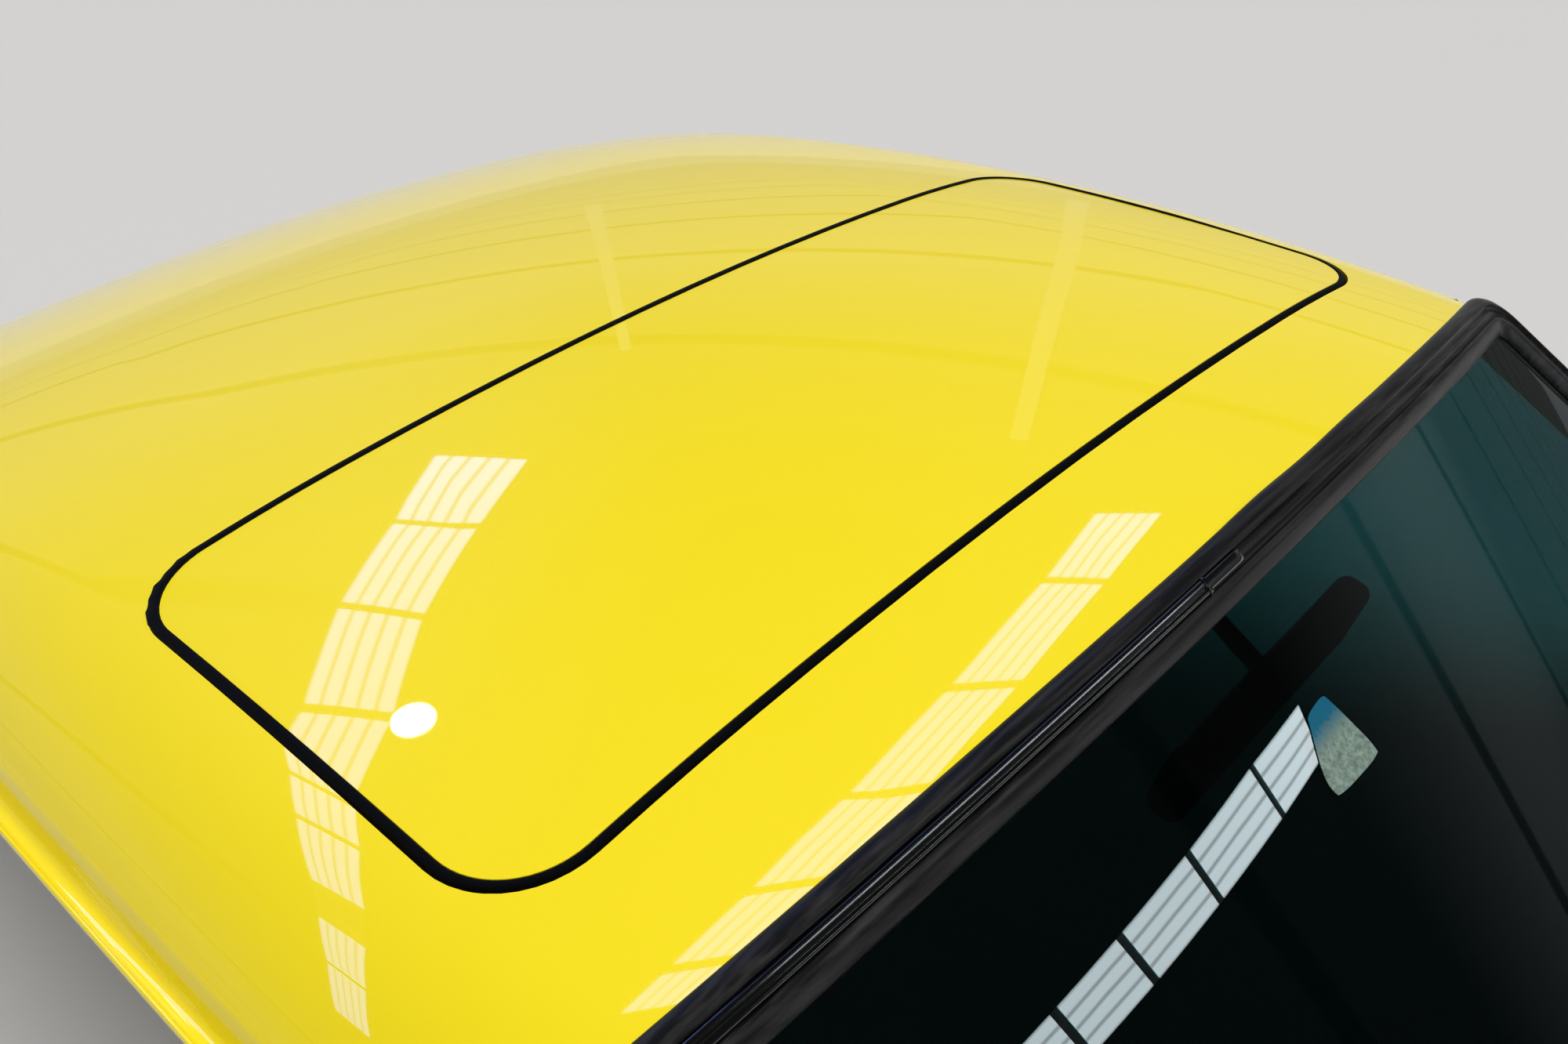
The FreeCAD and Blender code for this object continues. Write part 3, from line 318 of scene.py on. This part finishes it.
# height of the soft lip's columns over the paint, and where the lip leaves the paint
LIP_HEIGHTS = (0.0004, 0.0020, 0.0030, 0.0031, 0.0024, 0.0010, -0.0006, -0.0020)
LIP_END = 0.490
LIP_FADE = 0.030
LIP_LOWEST = -0.030
LIP_DROP = 0.010
# the bulge of the lip beside the trim's end, its waves further on and one sharp fold; the bulge
# takes in the section's first columns, and pushes them outwards less and less
BULGE_COLUMNS = 9
BULGE_LOWEST = -0.1
BULGE_AT = 0.042
BULGE_LONG = 0.045
BULGE_HIGH = 0.0013
BULGE_OUT = 0.0010
BULGE_FADE = 10
WAVE_AT = 0.14
WAVE_LONG = 0.09
WAVE_SHARE = 0.35
WAVE_TURNS = 42.0
FOLD_AT = -0.004
FOLD_LONG = 0.007
FOLD_HIGH = 0.0007


def bell(distance, reach):
    return math.exp(-(distance / reach) ** 2)


def on_screen(across, up, rise):
    """A place by its distance across, along the rake and over the glass."""
    out = SCREEN_RADIUS + rise
    turn = math.asin(across / SCREEN_RADIUS)
    height = out * math.cos(turn) - SCREEN_RADIUS
    return SCREEN_TOP + Vector((
        out * math.sin(turn),
        up * math.cos(SCREEN_RAKE) - height * math.sin(SCREEN_RAKE),
        up * math.sin(SCREEN_RAKE) + height * math.cos(SCREEN_RAKE),
    ))


def stretch(start, end, count):
    """Points of a straight line, without the last."""
    return [start.lerp(end, n / count) for n in range(count)]


def turn_round(centre, radius, first, last, count):
    """Points of an arc from one angle to another, without the last."""
    angles = [first + (last - first) * n / count for n in range(count)]
    return [centre + radius * Vector((math.cos(a), math.sin(a))) for a in angles]


def outline_half(inset, start=0.0):
    """Left half of the seal's outline, from its top middle down to its bottom middle."""
    slant = math.hypot(1.0, OUTLINE_SPLAY)
    down = Vector((OUTLINE_SPLAY, -1.0)) / slant
    inward = Vector((-1.0, -OUTLINE_SPLAY)) / slant
    side = Vector((OUTLINE_TOP_HALF, 0.0)) + inward * inset
    top_r = max(TOP_CORNER - inset, LEAST_CORNER)
    low_r = max(LOW_CORNER - inset, LEAST_CORNER)
    top_centre = side + inward * top_r
    top_centre += down * ((-inset - top_r - top_centre.y) / down.y)
    bow_r = OUTLINE_BOW - inset
    bow_centre = Vector((0.0, OUTLINE_BOW - OUTLINE_HEIGHT))
    first = side + inward * low_r - bow_centre
    along = first.dot(down)
    run = -along + math.sqrt(along ** 2 - first.dot(first) + (bow_r - low_r) ** 2)
    low_centre = side + inward * low_r + down * run
    side_angle = math.atan2(-inward.y, -inward.x)
    bow_angle = math.atan2(low_centre.y - bow_centre.y, low_centre.x - bow_centre.x)
    end_angle = math.asin(start / bow_r) - math.pi / 2
    top, top_turn, straight, low_turn, bow = OUTLINE_STEPS
    points = stretch(Vector((start, -inset)), top_centre + Vector((0.0, top_r)), top)
    points += turn_round(top_centre, top_r, math.pi / 2, side_angle, top_turn)
    points += stretch(top_centre - inward * top_r, low_centre - inward * low_r, straight)
    points += turn_round(low_centre, low_r, side_angle, bow_angle, low_turn)
    points += turn_round(bow_centre, bow_r, bow_angle, end_angle, bow)
    points.append(bow_centre + bow_r * Vector((math.cos(end_angle), math.sin(end_angle))))
    return points


def screen_rows(section, start=None, shape=None):
    """Rows of a section that follows the seal's outline: all round, or its right half from a start."""
    loops = []
    for inset, _ in section:
        half = outline_half(inset, start or 0.0)
        right = [Vector((-p.x, p.y)) for p in half]
        loops.append(right if start else half + right[-2::-1])
    rows = []
    for step in range(len(loops[0])):
        row = []
        for number, (_, rise) in enumerate(section):
            point = loops[number][step]
            place = shape(point, number, rise) if shape else (point.x, point.y, rise)
            row.append(on_screen(*place))
        rows.append(row)
    return rows


def lay_lip(point, number, rise):
    """The outer lip lies on the roof's skin and swells where the trim strip is missing."""
    up = point.y
    if number < len(LIP_HEIGHTS):
        place = on_screen(point.x, point.y, 0.0)
        over_skin = (roof_height(place.x, place.y) - place.z) / math.cos(SCREEN_RAKE)
        inside = 1.0 - ramp(abs(point.x), LIP_END - LIP_FADE, LIP_FADE)
        above = ramp(point.y, LIP_LOWEST, LIP_DROP)
        rise += max(over_skin + LIP_HEIGHTS[number] - rise, 0.0) * inside * above
    if number < BULGE_COLUMNS and point.y > BULGE_LOWEST:
        swell = bell(point.x - BULGE_AT, BULGE_LONG)
        swell += WAVE_SHARE * math.sin(point.x * WAVE_TURNS) * bell(point.x - WAVE_AT, WAVE_LONG)
        rise += BULGE_HIGH * swell + FOLD_HIGH * bell(point.x - FOLD_AT, FOLD_LONG)
        up += BULGE_OUT * swell * (1.0 - number / BULGE_FADE)
    return point.x, up, rise


def add_colours(tree, *stops):
    """A colour ramp between two stops, each a position and a colour."""
    colours = tree.nodes.new("ShaderNodeValToRGB")
    for element, (position, colour) in zip(colours.color_ramp.elements, stops):
        element.position = position
        element.color = colour
    return colours


rubber = new_material("black_rubber", Roughness=0.40, Specular_IOR_Level=0.28)
rubber_tree = rubber.node_tree
rubber_place = add_node(rubber_tree, "TexCoord")
rubber_stretch = add_node(rubber_tree, "Mapping", {"Scale": (7.0, 260.0, 260.0)})
rubber_noise = add_node(rubber_tree, "TexNoise", {"Scale": 1.0, "Detail": 5.0})
rubber_dust = add_colours(
    rubber_tree, (0.42, (0.0045, 0.0043, 0.0046, 1.0)), (0.72, (0.0200, 0.0190, 0.0190, 1.0)))
join(
    rubber_tree,
    (rubber_place, "Object", rubber_stretch, "Vector"),
    (rubber_stretch, "Vector", rubber_noise, "Vector"),
    (rubber_noise, "Fac", rubber_dust, "Fac"),
    (rubber_dust, "Color", rubber_tree.nodes["Principled BSDF"], "Base Color"),
)
seal = skinned("windscreen_rubber", screen_rows(SEAL_SECTION, None, lay_lip))
finish_piece(seal, rubber, "roof", "black_rubber", "windscreen_seal")


# The trim strip: an extruded strip of gloss black plastic with two rounded ribs, snapped into the
# seal's groove. Only its right half is there; it ends near the middle in a collar whose thinner
# tongue would carry the other half.
TRIM_END = 0.048
# columns of all three: distance inside the outline, height over the glass
TRIM_SECTION = [
    (0.0127, 0.0052), (0.0127, 0.0082), (0.0129, 0.0092), (0.0134, 0.0100), (0.0142, 0.0104),
    (0.0150, 0.0104), (0.0158, 0.01035), (0.0166, 0.01025), (0.0174, 0.0101), (0.0181, 0.0098),
    (0.0187, 0.0095), (0.0193, 0.0094), (0.0199, 0.0097), (0.0205, 0.00985), (0.0211, 0.0098),
    (0.0217, 0.0096), (0.0223, 0.0090), (0.0228, 0.0078), (0.0231, 0.0052),
]
COLLAR_SECTION = [
    (0.0119, 0.0055), (0.0118, 0.0090), (0.0122, 0.0104), (0.0134, 0.0113), (0.0152, 0.0116),
    (0.0200, 0.0114), (0.0222, 0.0106), (0.0237, 0.0090), (0.0241, 0.0055),
]
TONGUE_SECTION = [
    (0.0131, 0.0054), (0.0131, 0.0080), (0.0135, 0.0091), (0.0146, 0.0097), (0.0165, 0.0098),
    (0.0195, 0.0096), (0.0210, 0.0091), (0.0220, 0.0080), (0.0222, 0.0054),
]
# rows of the two short ones: place across, scale of the section and how far it drops
COLLAR_ROWS = [
    (-0.0506, 0.96, 0.0006), (-0.0502, 1.0, 0.0), (-0.0488, 1.0, 0.0), (-0.0484, 0.96, 0.0006),
]
TONGUE_ROWS = [
    (-0.0486, 1.0, 0.0), (-0.0300, 1.0, 0.0), (-0.0140, 1.0, 0.0), (-0.0092, 1.0, 0.0),
    (-0.0086, 0.97, 0.0004),
]


def top_piece(name, section, places):
    """A short piece along the top of the outline."""
    middle = sum(inset for inset, _ in section) / len(section)
    rows = []
    for x, scale, drop in places:
        insets = [middle + (inset - middle) * scale for inset, _ in section]
        rises = [rise - drop for _, rise in section]
        rows.append([on_screen(x, -inset, rise) for inset, rise in zip(insets, rises)])
    return skinned(name, rows)


trim_black = new_material(
    "gloss_black",
    Base_Color=(0.002, 0.002, 0.002, 1.0),
    Roughness=0.18,
    Coat_Weight=1.0,
    Coat_Roughness=0.09,
)
trim = skinned("trim_strip", screen_rows(TRIM_SECTION, TRIM_END))
finish_piece(trim, trim_black, "roof", "gloss_black", "trim_strip_right")
collar = top_piece("trim_collar", COLLAR_SECTION, COLLAR_ROWS)
finish_piece(collar, trim_black, "roof", "gloss_black", "trim_clip")
tongue = top_piece("trim_tongue", TONGUE_SECTION, TONGUE_ROWS)
finish_piece(tongue, trim_black, "roof", "gloss_black", "trim_clip")


# What is left of a label on the windscreen: a thin plain film glued to the glass, clear blue-green
# above, scuffed and dull below.
# the corners, lower and upper pair: place across and along the rake
LABEL_LOW = (Vector((-0.0670, -0.154)), Vector((-0.0150, -0.156)))
LABEL_TOP = (Vector((-0.0455, -0.111)), Vector((-0.0215, -0.109)))
LABEL_STEPS = 16
LABEL_ROUND = 0.07
LABEL_BELLY = 0.0075
LABEL_OVER = 0.0005
FILM_THICK = 0.0003
FILM_CREASE = 40
# where the clear part starts along the car, how soft that line is and how far it strays
CLEAR_FROM = 0.314
CLEAR_SOFT = 0.010
CLEAR_STRAY = 0.020
deselect()
bpy.ops.mesh.primitive_grid_add(x_subdivisions=LABEL_STEPS, y_subdivisions=LABEL_STEPS)
label = bpy.context.object
label.name = "film_label"
for vertex in label.data.vertices:
    u, v = vertex.co.x, vertex.co.y
    u, v = u * (1 - LABEL_ROUND * v ** 4), v * (1 - LABEL_ROUND * u ** 4)
    low = LABEL_LOW[0].lerp(LABEL_LOW[1], (u + 1) / 2)
    top = LABEL_TOP[0].lerp(LABEL_TOP[1], (u + 1) / 2)
    across, up = low.lerp(top, (v + 1) / 2)
    across -= LABEL_BELLY * (1 - v ** 2) * (1 - v) * (1 - u) / 4
    vertex.co = on_screen(across, up, LABEL_OVER)
label.modifiers.new("film", "SOLIDIFY").thickness = FILM_THICK
bpy.ops.object.modifier_apply(modifier="film")
bpy.ops.object.shade_smooth_by_angle(angle=math.radians(FILM_CREASE))
film = new_material("label_film", Roughness=0.35, Specular_IOR_Level=0.15)
film_tree = film.node_tree
film_place = add_node(film_tree, "TexCoord")
film_parts = add_node(film_tree, "SeparateXYZ")
film_noise = add_node(film_tree, "TexNoise", {"Scale": 230.0, "Roughness": 0.7, "Detail": 6.0})
film_stray = add_node(film_tree, "Math", {1: CLEAR_STRAY}, operation="MULTIPLY_ADD")
film_clear = add_node(
    film_tree, "MapRange", {"From Min": CLEAR_FROM, "From Max": CLEAR_FROM + CLEAR_SOFT})
film_blotch = add_node(film_tree, "MapRange", {"From Min": 0.36, "From Max": 0.66})
film_dull = add_node(
    film_tree, "Mix", {"A": (0.075, 0.110, 0.092, 1.0), "B": (0.20, 0.27, 0.22, 1.0)},
    data_type="RGBA")
film_mix = add_node(film_tree, "Mix", {"B": (0.001, 0.080, 0.135, 1.0)}, data_type="RGBA")
join(
    film_tree,
    (film_place, "Object", film_parts, "Vector"),
    (film_place, "Object", film_noise, "Vector"),
    (film_noise, "Fac", film_stray, 0),
    (film_parts, "Y", film_stray, 2),
    (film_stray, "Value", film_clear, "Value"),
    (film_noise, "Fac", film_blotch, "Value"),
    (film_blotch, "Result", film_dull, "Factor"),
    (film_dull, "Result", film_mix, "A"),
    (film_clear, "Result", film_mix, "Factor"),
    (film_mix, "Result", film_tree.nodes["Principled BSDF"], "Base Color"),
)
finish_piece(label, film, "roof", "tinted_glass")


# The sunroof's seal: a flocked rubber bead on the panel's edge that closes the gap and stands level
# with the paint. It spreads towards the rear, and is frayed and swollen at its joint, in the right
# rear corner.
SUNROOF_FRONT = 0.518
SUNROOF_LONG = 0.375
SUNROOF_HALF = 0.462
SUNROOF_CORNER = 0.056
CORNER_STEPS = 16
ACROSS_STEPS = 40
ALONG_STEPS = 20
# columns: distance outside the middle of the gap, height over the skin
BEAD_SECTION = [
    (-0.0037, -0.0088), (-0.0037, -0.0012), (-0.0033, 0.0000), (-0.0022, 0.0006), (-0.0008, 0.0006),
    (0.0006, 0.0002), (0.0016, -0.0008), (0.0020, -0.0022), (0.0020, -0.0088),
]
BEAD_TOP = range(2, 7)
BEAD_OUTSIDE = range(5, 9)
SPREAD_FROM = 0.60
SPREAD_OVER = 0.10
SPREAD_HIGH = 0.0008
SPREAD_WIDE = 0.0015
FRAY_AT = Vector((-0.452, 0.868))
FRAY_REACH = 0.045
FRAY_HIGH = 0.0012
FRAY_WIDE = 0.0016
# two waves along the bead's rows, whose product makes the fray's lumps
FRAY_TURNS = (2.3, 0.9)
FRAY_SHIFT = 1.0


def sunroof_path(grow):
    """The middle of the sunroof's gap, widened all round."""
    corner = SUNROOF_CORNER + grow
    x, y0, y1 = SUNROOF_HALF + grow, SUNROOF_FRONT - grow, SUNROOF_FRONT + SUNROOF_LONG + grow
    corners = [(x - corner, y0 + corner, -90), (x - corner, y1 - corner, 0),
               (corner - x, y1 - corner, 90), (corner - x, y0 + corner, 180)]
    points = []
    for number, (cx, cy, angle) in enumerate(corners):
        start = math.radians(angle)
        end = corner * Vector((-math.sin(start), math.cos(start)))
        centre, next_centre = Vector((cx, cy)), Vector(corners[(number + 1) % 4][:2])
        points += turn_round(centre, corner, start, start + math.pi / 2, CORNER_STEPS)
        steps = ACROSS_STEPS if number % 2 else ALONG_STEPS
        points += stretch(centre + end, next_centre + end, steps)
    return points + points[:1]


bead_loops = [sunroof_path(grow) for grow, _ in BEAD_SECTION]
bead_rows = []
for step in range(len(bead_loops[0])):
    lumps = math.sin(step * FRAY_TURNS[0]) * math.sin(step * FRAY_TURNS[1] + FRAY_SHIFT)
    row = []
    for number, (_, rise) in enumerate(BEAD_SECTION):
        point = bead_loops[number][step]
        fray = bell((point - FRAY_AT).length, FRAY_REACH) * (0.5 + 0.5 * lumps)
        spread = ramp(point.y, SPREAD_FROM, SPREAD_OVER)
        if number in BEAD_TOP:
            rise += FRAY_HIGH * fray + SPREAD_HIGH * spread
        if number in BEAD_OUTSIDE:
            outward = (point - bead_loops[0][step]).normalized()
            point = point + outward * (SPREAD_WIDE * spread + FRAY_WIDE * fray)
        row.append(Vector((point.x, point.y, roof_height(point.x, point.y) + rise)))
    bead_rows.append(row)
flock = new_material(
    "flocked_rubber",
    Base_Color=(0.0015, 0.0015, 0.0015, 1.0),
    Roughness=0.7,
    Specular_IOR_Level=0.15,
)
bead = skinned("sunroof_bead", bead_rows)
finish_piece(bead, flock, "sunroof", "black_rubber", "sunroof_seal")


# The sliding shoes of the sunroof, the inner mirror and its stalk: moulded black plastic, clipped
# and screwed in place.
plastic = new_material("black_plastic", Base_Color=(0.02, 0.02, 0.021, 1.0), Roughness=0.5)
put_on(plastic, "front_shoe_left", "front_shoe_right", "rear_shoe_left", "rear_shoe_right", "mirror",
       "mirror_stalk")


# The cassette, frame, brackets and arms of the sunroof and the visors' rods: zinc-plated steel,
# pressed or bent. The guide rails are drawn aluminium.
zinc = new_material(
    "zinc_plated", Base_Color=(0.45, 0.46, 0.47, 1.0), Roughness=0.38, Metallic=1.0)
put_on(zinc, "sunroof_cassette", "sunroof_frame", "front_bracket_left", "front_bracket_right",
       "rear_bracket_left", "rear_bracket_right", "lift_arm_left", "lift_arm_right", "visor_rod_left",
       "visor_rod_right")
alloy = new_material("rail_alloy", Base_Color=(0.70, 0.70, 0.72, 1.0), Roughness=0.3, Metallic=1.0)
put_on(alloy, "guide_rail_left", "guide_rail_right")


# The soft inner trim: a cloth headlining and sunroof board, padded vinyl sun visors and the moulded
# lens of the roof lamp.
cloth = new_material(
    "lining_cloth", Base_Color=(0.45, 0.43, 0.38, 1.0), Roughness=0.95, Specular_IOR_Level=0.2)
put_on(cloth, "headlining", "sunroof_board")
vinyl = new_material("visor_vinyl", Base_Color=(0.10, 0.105, 0.11, 1.0), Roughness=0.6)
put_on(vinyl, "sun_visor_left", "sun_visor_right")
lens = new_material("lamp_lens", Base_Color=(0.8, 0.8, 0.76, 1.0), Roughness=0.35)
put_on(lens, "roof_lamp")


# The studio's floor and its three skylights across the car, whose bars and striped panes show in
# the paint and the glass. Only reflections show the skylights.
STUDIO_SIZE = 160.0
FLOOR_LEVEL = -0.03
LIGHT_LEVEL = 3.6
BAR_HALF = 0.035
# each row is the place of one bar between two panes: x and y of its two ends
FRONT_BARS = [
    (5.15, -3.52, 5.17, -3.93), (4.16, -3.49, 4.30, -3.92), (3.13, -3.50, 3.25, -3.90),
    (2.28, -3.50, 2.40, -3.88), (1.60, -3.50, 1.70, -3.86), (1.00, -3.50, 1.10, -3.85),
    (0.40, -3.50, 0.50, -3.84),
]
MIDDLE_BARS = [
    (3.79, 2.24, 4.09, 2.00), (2.98, 2.05, 3.20, 1.83), (2.00, 1.89, 2.24, 1.68),
    (1.20, 1.81, 1.48, 1.60), (0.45, 1.77, 0.78, 1.56), (-0.08, 1.78, 0.22, 1.57),
    (-0.40, 1.80, -0.12, 1.60),
]
REAR_BARS = [
    (2.22, 6.27, 2.41, 5.45), (1.42, 5.55, 1.67, 4.94), (0.55, 4.95, 0.77, 4.35),
    (-0.16, 4.34, 0.10, 3.80), (-0.85, 4.02, -0.50, 3.48), (-1.50, 3.86, -1.12, 3.31),
    (-2.44, 3.75, -2.08, 3.23), (-3.00, 3.80, -2.72, 3.30), (-3.97, 3.99, -3.71, 3.52),
    (-5.40, 4.44, -5.12, 3.93),
]
# the one pane that is covered: its skylight, and its number there
COVERED_PANE = ("rear", 6)
LAMP_PLACE = (0.158, 3.689)
LAMP_RADIUS = 0.13


def new_glow(name, colour, lines, least, most):
    """An emission between two strengths, with soft darker lines along a skylight's panes."""
    glow = bpy.data.materials.new(name)
    glow.use_nodes = True
    tree = glow.node_tree
    tree.nodes.clear()
    out = add_node(tree, "OutputMaterial")
    light = add_node(tree, "Emission", {"Color": colour})
    place = add_node(tree, "UVMap")
    wave = add_node(tree, "TexWave", {"Scale": lines}, bands_direction="Y")
    level = add_node(tree, "MapRange", {"From Max": 0.30, "To Min": least, "To Max": most})
    join(
        tree,
        (light, "Emission", out, "Surface"),
        (place, "UV", wave, "Vector"),
        (wave, "Fac", level, "Value"),
        (level, "Result", light, "Strength"),
    )
    return glow


def stage_light(piece, name, *materials):
    """A stage piece that shows only in reflections."""
    piece.name = name
    for material in materials:
        piece.data.materials.append(material)
    piece.visible_diffuse = False
    piece.visible_shadow = False
    piece.visible_camera = False


deselect()
bpy.ops.mesh.primitive_plane_add(size=STUDIO_SIZE, location=(0.0, 0.0, FLOOR_LEVEL))
floor = bpy.context.object
floor.name = "studio_floor"
floor_paint = new_material(
    "studio_floor", Base_Color=(0.52, 0.51, 0.495, 1.0), Roughness=0.7, Specular_IOR_Level=0.3)
floor.data.materials.append(floor_paint)

bar_dark = new_material("skylight_bar", Base_Color=(0.25, 0.25, 0.25, 1.0), Roughness=0.9)
day_glow = new_glow("skylight_glow", (0.24, 0.38, 1.0, 1.0), lines=1.55, least=2.6, most=7.2)
front_glow = new_glow(
    "front_skylight_glow", (0.85, 0.96, 1.0, 1.0), lines=1.25, least=6.0, most=12.0)
lamp_glow = new_glow("lamp_glow", (1.0, 1.0, 1.0, 1.0), lines=0.0, least=20.0, most=20.0)
for name, bars, glow in (("front", FRONT_BARS, front_glow), ("middle", MIDDLE_BARS, day_glow),
                         ("rear", REAR_BARS, day_glow)):
    deselect()
    bpy.ops.mesh.primitive_grid_add(x_subdivisions=2 * len(bars) - 3, y_subdivisions=1)
    strip = bpy.context.object
    for vertex in strip.data.vertices:
        side, column = divmod(vertex.index, 2 * len(bars) - 2)
        pane, end = divmod(column, 2)
        ends = [Vector(bar[2 * side:2 * side + 2]) for bar in bars[pane:pane + 2]]
        off = BAR_HALF / (ends[1] - ends[0]).length
        vertex.co = (*ends[0].lerp(ends[1], 1 - off if end else off), LIGHT_LEVEL)
    stage_light(strip, "skylight_" + name, glow, bar_dark)
    for face in strip.data.polygons:
        dark = face.index % 2 or (name, face.index // 2) == COVERED_PANE
        face.material_index = 1 if dark else 0

deselect()
bpy.ops.mesh.primitive_circle_add(
    radius=LAMP_RADIUS, fill_type="NGON", location=(*LAMP_PLACE, LIGHT_LEVEL))
stage_light(bpy.context.object, "studio_lamp", lamp_glow)


# The studio's ceiling, a glowing plane which shows only in reflections: its glow is a painted
# reflection of dull sheets between darker beams, paler to the rear, and of two pale glowing ducts that
# run away under it.
CEILING_OVER = 0.6
CEILING_TURN = math.radians(-18.6)
BEAM_APART = 5.15
BEAM_FIRST = 7.65
BEAM_LONG = 200.0
DUCT_OVER = 0.55
# each row is one duct: x and y of its two ends, and its width at each end
DUCTS = [(5.0, 3.5, 50.0, 28.2, 0.13, 1.1), (5.0, 7.7, 20.0, 27.5, 0.10, 0.5)]
sheet_glow = bpy.data.materials.new("ceiling_glow")
sheet_glow.use_nodes = True
sheet_tree = sheet_glow.node_tree
sheet_tree.nodes.clear()
sheet_out = add_node(sheet_tree, "OutputMaterial")
sheet_light = add_node(sheet_tree, "Emission")
sheet_place = add_node(sheet_tree, "TexCoord")
sheet_turn = add_node(sheet_tree, "Mapping", {
    "Rotation": (0.0, 0.0, CEILING_TURN),
    "Location": (-BEAM_FIRST, BEAM_LONG / 2, 0.0),
})
sheet_brick = add_node(sheet_tree, "TexBrick", {
    "Color1": (0.95, 0.97, 0.97, 1.0),
    "Color2": (1.0, 1.0, 1.0, 1.0),
    "Mortar": (0.25, 0.26, 0.27, 1.0),
    "Scale": 1.0,
    "Mortar Size": 0.24,
    "Mortar Smooth": 0.6,
    "Brick Width": BEAM_APART,
    "Row Height": BEAM_LONG,
}, offset=0.0)
sheet_parts = add_node(sheet_tree, "SeparateXYZ")
sheet_side = add_node(sheet_tree, "Math", {1: 0.35}, operation="MULTIPLY_ADD")
sheet_far = add_node(sheet_tree, "Math", operation="MAXIMUM")
sheet_level = add_node(sheet_tree, "MapRange", {
    "From Min": 4.5, "From Max": 13.0, "To Min": 0.025, "To Max": 0.42})
sheet_dim = add_node(sheet_tree, "MapRange", {
    "From Min": 11.0, "From Max": 17.0, "To Min": 1.0, "To Max": 0.25})
sheet_back = add_node(sheet_tree, "MapRange", {"From Min": -1.0, "From Max": 2.0})
sheet_keep = add_node(sheet_tree, "Math", operation="MAXIMUM")
sheet_strength = add_node(sheet_tree, "Math", operation="MULTIPLY")
join(
    sheet_tree,
    (sheet_place, "Object", sheet_turn, "Vector"),
    (sheet_turn, "Vector", sheet_brick, "Vector"),
    (sheet_brick, "Color", sheet_light, "Color"),
    (sheet_place, "Object", sheet_parts, "Vector"),
    (sheet_parts, "Y", sheet_side, 0),
    (sheet_parts, "X", sheet_side, 2),
    (sheet_side, "Value", sheet_far, 0),
    (sheet_parts, "Y", sheet_far, 1),
    (sheet_far, "Value", sheet_level, "Value"),
    (sheet_parts, "X", sheet_dim, "Value"),
    (sheet_parts, "Y", sheet_back, "Value"),
    (sheet_dim, "Result", sheet_keep, 0),
    (sheet_back, "Result", sheet_keep, 1),
    (sheet_keep, "Value", sheet_strength, 0),
    (sheet_level, "Result", sheet_strength, 1),
    (sheet_strength, "Value", sheet_light, "Strength"),
    (sheet_light, "Emission", sheet_out, "Surface"),
)
deselect()
bpy.ops.mesh.primitive_plane_add(
    size=STUDIO_SIZE, location=(0.0, 0.0, LIGHT_LEVEL + CEILING_OVER))
stage_light(bpy.context.object, "studio_ceiling", sheet_glow)

duct_glow = new_glow("duct_glow", (0.95, 0.97, 1.0, 1.0), lines=0.0, least=0.52, most=0.52)
for number, (x0, y0, x1, y1, near, far) in enumerate(DUCTS):
    deselect()
    bpy.ops.mesh.primitive_plane_add(size=1.0)
    duct = bpy.context.object
    start, run = Vector((x0, y0)), Vector((x1 - x0, y1 - y0))
    across = Vector((-run.y, run.x)).normalized()
    for vertex in duct.data.vertices:
        along, aside = vertex.co.x + 0.5, vertex.co.y
        width = near + (far - near) * along
        vertex.co = (*(start + run * along + across * aside * width), LIGHT_LEVEL + DUCT_OVER)
    stage_light(duct, "studio_duct_" + str(number + 1), duct_glow)


# The daylight: a wide soft sun from above and a pale sky that is darker overhead and ahead of the
# car, so that the windscreen mirrors little.
SUN_TURN = (math.radians(18), math.radians(5), 0.0)
SUN_STRENGTH = 3.9
SUN_WIDE = math.radians(70)
deselect()
bpy.ops.object.light_add(type="SUN", rotation=SUN_TURN)
soft_sun = bpy.context.object
soft_sun.name = "soft_sun"
soft_sun.data.energy = SUN_STRENGTH
soft_sun.data.angle = SUN_WIDE
soft_sun.visible_glossy = False

world = bpy.data.worlds.new("studio")
bpy.context.scene.world = world
world.use_nodes = True
world_tree = world.node_tree
backdrop = world_tree.nodes["Background"]
sky_place = add_node(world_tree, "TexCoord")
sky_parts = add_node(world_tree, "SeparateXYZ")
sky_colours = add_colours(
    world_tree, (0.0, (0.50, 0.51, 0.53, 1.0)), (0.55, (0.10, 0.105, 0.115, 1.0)))
dark_front = add_node(
    world_tree, "MapRange", {"From Min": -0.5, "From Max": 0.3, "To Min": 0.25})
join(
    world_tree,
    (sky_place, "Generated", sky_parts, "Vector"),
    (sky_parts, "Z", sky_colours, "Fac"),
    (sky_parts, "Y", dark_front, "Value"),
    (dark_front, "Result", backdrop, "Strength"),
    (sky_colours, "Color", backdrop, "Color"),
)


# The camera stands at the front right of the car, above the roof, and looks across it.
CAMERA_PLACE = Vector((-0.66886, 0.15349, 0.90085))
CAMERA_TILT = math.radians(54.123)
CAMERA_ROLL = math.radians(0.0619)
CAMERA_HEADING = math.radians(-47.462)
CAMERA_LENS = 31.607
CAMERA_FILM = 36.0
CAMERA_NEAR = 0.02
deselect()
bpy.ops.object.camera_add()
camera = bpy.context.object
camera.name = "photo_camera"
camera_turn = Euler((CAMERA_TILT, CAMERA_ROLL, CAMERA_HEADING)).to_matrix().to_4x4()
camera.matrix_world = Matrix.Translation(CAMERA_PLACE) @ camera_turn
camera.data.sensor_width = CAMERA_FILM
camera.data.lens = CAMERA_LENS
camera.data.clip_start = CAMERA_NEAR
bpy.context.scene.camera = camera
bpy.context.scene.view_settings.view_transform = "Standard"
